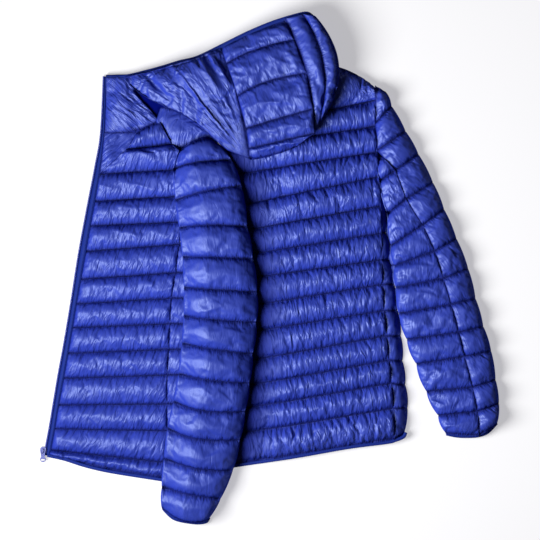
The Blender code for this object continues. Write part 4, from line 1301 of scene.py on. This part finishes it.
# ---- operators ---------------------------------------------------------------------------
class JACKET_OT_body(bpy.types.Operator):
    """Makes the quilted panels of the body"""
    bl_idname = "jacket.body"
    bl_label = "Body"

    def execute(self, context):
        # press also sets where the sleeve's shadow is painted on the back
        quilted("back", BACK_ROWS, "stitching_back", under=(0.0, *RAMP, 1.0), gathered=(0,),
                bias=(0.7, 1.2), press=[row[2] for row in SLEEVE_LEFT_ROWS])
        quilted("front_left", FRONT_ROWS, "stitching_front_left", under=(0.0, 0.5, 1.0),
                gathered=(0,), bias=(0.7, 1.1))
        quilted("side_left", SIDE_LEFT_ROWS, "stitching_side_left")
        quilted("side_right", SIDE_RIGHT_ROWS, "stitching_side_right", under=(0.0, 0.72),
                bulge=(0.0, 3.0), section=SIDE_SECTION)
        for name, rows in (("yoke_left", YOKE_ROWS), ("collar_left", COLLAR_ROWS),
                           ("shoulder_left", SHOULDER_ROWS)):
            quilted(name, rows)
        under_layer("front_right", [cut_row(row, UNDER_EDGE, 1.0) for row in BACK_ROWS[:13]])
        return {"FINISHED"}


class JACKET_OT_sleeves(bpy.types.Operator):
    """Makes both sleeves"""
    bl_idname = "jacket.sleeves"
    bl_label = "Sleeves"

    def execute(self, context):
        under_layer("sleeve_left_under", SLEEVE_LEFT_ROWS)
        quilted("sleeve_left_top", SLEEVE_LEFT_ROWS, "stitching_sleeve_left",
                bulge=(2.0, 2.0), power=0.4, gathered=(12,), section=LEFT_SECTION)
        under_rows = list(SLEEVE_RIGHT_ROWS)
        for k, x in UNDER_REACH:
            left, seam, right = under_rows[k]
            under_rows[k] = ((x, left[1]), seam, right)
        under_layer("sleeve_right_under", under_rows)
        outer = [(left, right) for left, _, right in SLEEVE_RIGHT_ROWS[:SEAM_FIRST_ROW]]
        outer += [(seam, right) for _, seam, right in SLEEVE_RIGHT_ROWS[SEAM_FIRST_ROW:]]
        inner = [SEAM_START]
        inner += [(left, seam) for left, seam, _ in SLEEVE_RIGHT_ROWS[SEAM_FIRST_ROW:]]
        quilted("sleeve_right_outer", outer, "stitching_sleeve_right_outer",
                bulge=(0.0, 2.0), power=0.42, gathered=(12,), section=OUTER_SECTION)
        quilted("sleeve_right_inner", inner, "stitching_sleeve_right_inner",
                bulge=(4.0, 0.0), power=0.42, gathered=(10,))
        return {"FINISHED"}


HOOD_UNDER_COLUMNS = (0, 0.25, 0.5, 0.75, 1)
REMESH_VOXEL = 0.0035
HIDDEN_FOLDS = (0.9, 0.5)  # their height, and how far the form is drawn in for them
CROWN_EDGE = (60, 25, 5)   # where the form is drawn in under the crown, over what and how far
NECK_HOLLOW = (-214, 290)  # middle of the neck's opening, where shade is painted
HOLLOW_SHADE = (2.4, 19.0, 1.32)      # how dark the painted shade there is, how fast it fades, and the most


class JACKET_OT_hood(bpy.types.Operator):
    """Makes the flattened hood"""
    bl_idname = "jacket.hood"
    bl_label = "Hood"

    def execute(self, context):
        under = HOOD_UNDER_COLUMNS
        quilted("hood_left", HOOD_LEFT_ROWS, under=under, focus=HOOD_FOCUS)
        quilted("hood_centre", HOOD_CENTRE_ROWS, "stitching_hood_centre", under=under,
                gathered=(0,))
        quilted("hood_right", HOOD_RIGHT_ROWS, "stitching_hood_right", under=under)
        self.hidden_layers(context)
        return {"FINISHED"}

    def hidden_layers(self, context):
        """The layers beneath, as one soft rounded form with folds along it."""
        piece = bpy.data.objects.new("hood_under_layers",
                                     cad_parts["hood_under"].data.copy())
        context.scene.collection.objects.link(piece)
        remesh = piece.modifiers.new("Remesh", "REMESH")
        remesh.mode = "VOXEL"
        remesh.voxel_size = REMESH_VOXEL
        piece.modifiers.new("Soften", "SMOOTH").iterations = 4
        graph = context.evaluated_depsgraph_get()
        made = bpy.data.meshes.new_from_object(piece.evaluated_get(graph))
        piece.modifiers.clear()
        piece.data = made
        edge, fade, draw = CROWN_EDGE
        for vertex in made.vertices:
            x, y, z = vertex.co / MM
            fold = wander(x * 0.10, y * 0.02, z * 0.25) * HIDDEN_FOLDS[0] - HIDDEN_FOLDS[1]
            vertex.co += vertex.normal * fold * MM
            vertex.co.x -= draw * MM * min(1.0, max(0.0, (x - edge) / fade))
            vertex.co.z = max(vertex.co.z, 0.2 * MM)
        made.shade_smooth()
        made.materials.clear()
        made.materials.append(shell_material())
        places = points_of(made) / MM
        # painted shade in the neck's hollow, strongest at its middle
        hollow = np.hypot(places[:, 0] - NECK_HOLLOW[0], (places[:, 1] - NECK_HOLLOW[1]) * 0.8)
        dark, fade, most = HOLLOW_SHADE
        set_attribute(piece, "painted_shade", np.clip(dark - hollow / fade, 0, most))
        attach(piece, BODY)
        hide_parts("hood_under")


HOOD_BINDING_HALF = 3.0    # half its height
HEM_RAMP = (-40, 40)       # where the hem rises from the floor onto the layer under the back


class JACKET_OT_bindings(bpy.types.Operator):
    """Makes the elastic bindings of the hood, hem and cuffs"""
    bl_idname = "jacket.bindings"
    bl_label = "Bindings"

    def execute(self, context):
        low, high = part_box("hood_binding")
        slope = (high.z - low.z - 2 * HOOD_BINDING_HALF * MM) / (high.x - low.x)
        start, end = HEM_RAMP

        def hood_level(x):
            return (low.z + HOOD_BINDING_HALF * MM + slope * (x * MM - low.x)) / MM

        def hem_low(x):
            return (LAYER + SEAM_GAP) * min(1.0, max(0.0, (x - start) / (end - start)))

        binding("hood_binding", HOOD_EDGE, HOOD_BINDING_WIDTH,
                lambda x: hood_level(x) - HOOD_BINDING_HALF,
                lambda x: hood_level(x) + HOOD_BINDING_HALF, side=-1)
        binding("hem_binding_left", HEM_LEFT, BINDING_WIDTH, lambda x: 0.02,
                lambda x: BINDING_HEIGHT)
        binding("hem_binding_back", HEM_BACK, BINDING_WIDTH, hem_low,
                lambda x: hem_low(x) + BINDING_HEIGHT)
        cuff("cuff_binding_left", CUFF_LEFT)
        cuff("cuff_binding_right", CUFF_RIGHT)
        return {"FINISHED"}


TAPE_STEP = 3.0
TAPE_END = (-0.6, -3.5)    # how far the left tape runs on past the last tooth


class JACKET_OT_zip(bpy.types.Operator):
    """Makes the zip's teeth and tapes, and finishes its slider and pull tab"""
    bl_idname = "jacket.zip"
    bl_label = "Zip"

    def execute(self, context):
        coil_teeth()
        route = even_route(ZIP_EDGE, TAPE_STEP)
        panel_edge = [COLLAR_ROWS[4][0], COLLAR_ROWS[0][0], YOKE_ROWS[1][0]]
        panel_edge += [row[0] for row in reversed(FRONT_ROWS[:13])]
        near, far = [], []
        for i, (x, y) in enumerate(route):
            nx, ny = side_of(route, i)
            start = (x + nx * (CHAIN_WIDTH + SEAM_GAP), y + ny * (CHAIN_WIDTH + SEAM_GAP))
            near.append(start)
            far.append((edge_at(panel_edge, start[1]) - SEAM_GAP, start[1]))
        for line in (near, far):
            line.append((line[-1][0] + TAPE_END[0], line[-1][1] + TAPE_END[1]))
        tape("zip_tape_left", near, far, 2.5, 5.0, lip=3.0)
        line = [(*mix(a, b, 0.72), 5.1) for a, b in zip(near, far)]
        stitch_mesh("stitching_zip_left", [line], 2.6, offsets=(0.0,), lift=0.1)
        near = [along(row, UNDER_EDGE - 0.035) for row in BACK_ROWS[:13]]
        inner = [along(row, UNDER_EDGE) for row in BACK_ROWS[:13]]
        far = [(x - SEAM_GAP, y) for x, y in inner]
        tape("zip_tape_right", near, far, WEB_THICKNESS, 4.2)
        enamel = hard_material("Slider enamel", 0.45, 0.1)
        for name in ("zip_slider", "zip_pull"):
            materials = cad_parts[name].data.materials
            materials.clear()
            materials.append(enamel)
        return {"FINISHED"}


KEY_PLACE = (-0.74, -0.28, 0.78)
KEY_SIZE = 0.72
FLOOR_REACH = 3.0
CAMERA_SHIFT = (1.8 * MM, -1.8 * MM)


class JACKET_OT_stage(bpy.types.Operator):
    """Sets the pale floor, the soft light and the camera"""
    bl_idname = "jacket.stage"
    bl_label = "Stage"

    def execute(self, context):
        light = context.scene.jacket_light
        self.set_floor()
        world = bpy.data.worlds.new("room")
        world.use_nodes = True
        set_inputs(world.node_tree.nodes["Background"],
                   {"Color": (0.96, 0.97, 1.0, 1.0), "Strength": light.sky})
        context.scene.world = world
        self.set_key(light)
        camera_data = bpy.data.cameras.new("camera")
        camera_data.sensor_width = 36.0
        camera_data.lens = camera_data.sensor_width * light.camera_height / light.view_width
        camera = self.place("camera", camera_data, (*CAMERA_SHIFT, light.camera_height))
        context.scene.camera = camera
        context.scene.view_settings.view_transform = "Standard"
        return {"FINISHED"}

    def place(self, name, data, location=(0, 0, 0)):
        thing = bpy.data.objects.new(name, data)
        thing.location = location
        bpy.context.scene.collection.objects.link(thing)
        return thing

    def set_floor(self):
        data = bpy.data.meshes.new("floor")
        corners = [(FLOOR_REACH * x, FLOOR_REACH * y, 0)
                   for x, y in ((-1, -1), (1, -1), (1, 1), (-1, 1))]
        data.from_pydata(corners, [], [(0, 1, 2, 3)])
        material, _, _ = new_material("Pale floor", {
            "Roughness": 0.9, "Base Color": (0.43, 0.43, 0.43, 1.0),
            "Emission Color": (0.965, 0.955, 1.0, 1.0), "Emission Strength": 0.49,
            "Specular IOR Level": 0.1})
        data.materials.append(material)
        self.place("floor", data)

    def set_key(self, light):
        """A round soft light that is as strong near it as far from it."""
        data = bpy.data.lights.new("key", "AREA")
        data.energy = light.key * math.pi
        data.shape = "DISK"
        data.size = KEY_SIZE
        data.use_nodes = True
        tree = data.node_tree
        falloff = tree.nodes.new("ShaderNodeLightFalloff")
        set_inputs(falloff, {"Strength": 1.0})
        tree.links.new(falloff.outputs["Constant"], tree.nodes["Emission"].inputs["Strength"])
        key = self.place("key", data, KEY_PLACE)
        key.rotation_euler = (-Vector(KEY_PLACE)).to_track_quat("-Z", "Y").to_euler()
        key.visible_camera = False


class JACKET_PT_sidebar(bpy.types.Panel):
    """Lists the settings and the steps"""
    bl_idname = "JACKET_PT_sidebar"
    bl_label = "Laid puffer jacket"
    bl_space_type = "VIEW_3D"
    bl_region_type = "UI"
    bl_category = "Jacket"

    def draw(self, context):
        layout = self.layout
        for group in (context.scene.jacket_finish, context.scene.jacket_making,
                      context.scene.jacket_light):
            for name in group.__annotations__:
                layout.prop(group, name)
        for operator in OPERATORS:
            layout.operator(operator.bl_idname)


OPERATORS = (JACKET_OT_stage, JACKET_OT_body, JACKET_OT_sleeves, JACKET_OT_hood,
             JACKET_OT_bindings, JACKET_OT_zip)
GROUPS = {"jacket_finish": JacketFinish, "jacket_making": JacketMaking,
          "jacket_light": JacketLight}


def register():
    for made in (*GROUPS.values(), *OPERATORS, JACKET_PT_sidebar):
        bpy.utils.register_class(made)
    for name, group in GROUPS.items():
        setattr(bpy.types.Scene, name, PointerProperty(type=group))


def unregister():
    for name in GROUPS:
        delattr(bpy.types.Scene, name)
    for made in reversed((*GROUPS.values(), *OPERATORS, JACKET_PT_sidebar)):
        bpy.utils.unregister_class(made)


def main():
    register()
    for operator in OPERATORS:
        family, name = operator.bl_idname.split(".")
        getattr(getattr(bpy.ops, family), name)()


if __name__ == "__main__":
    main()
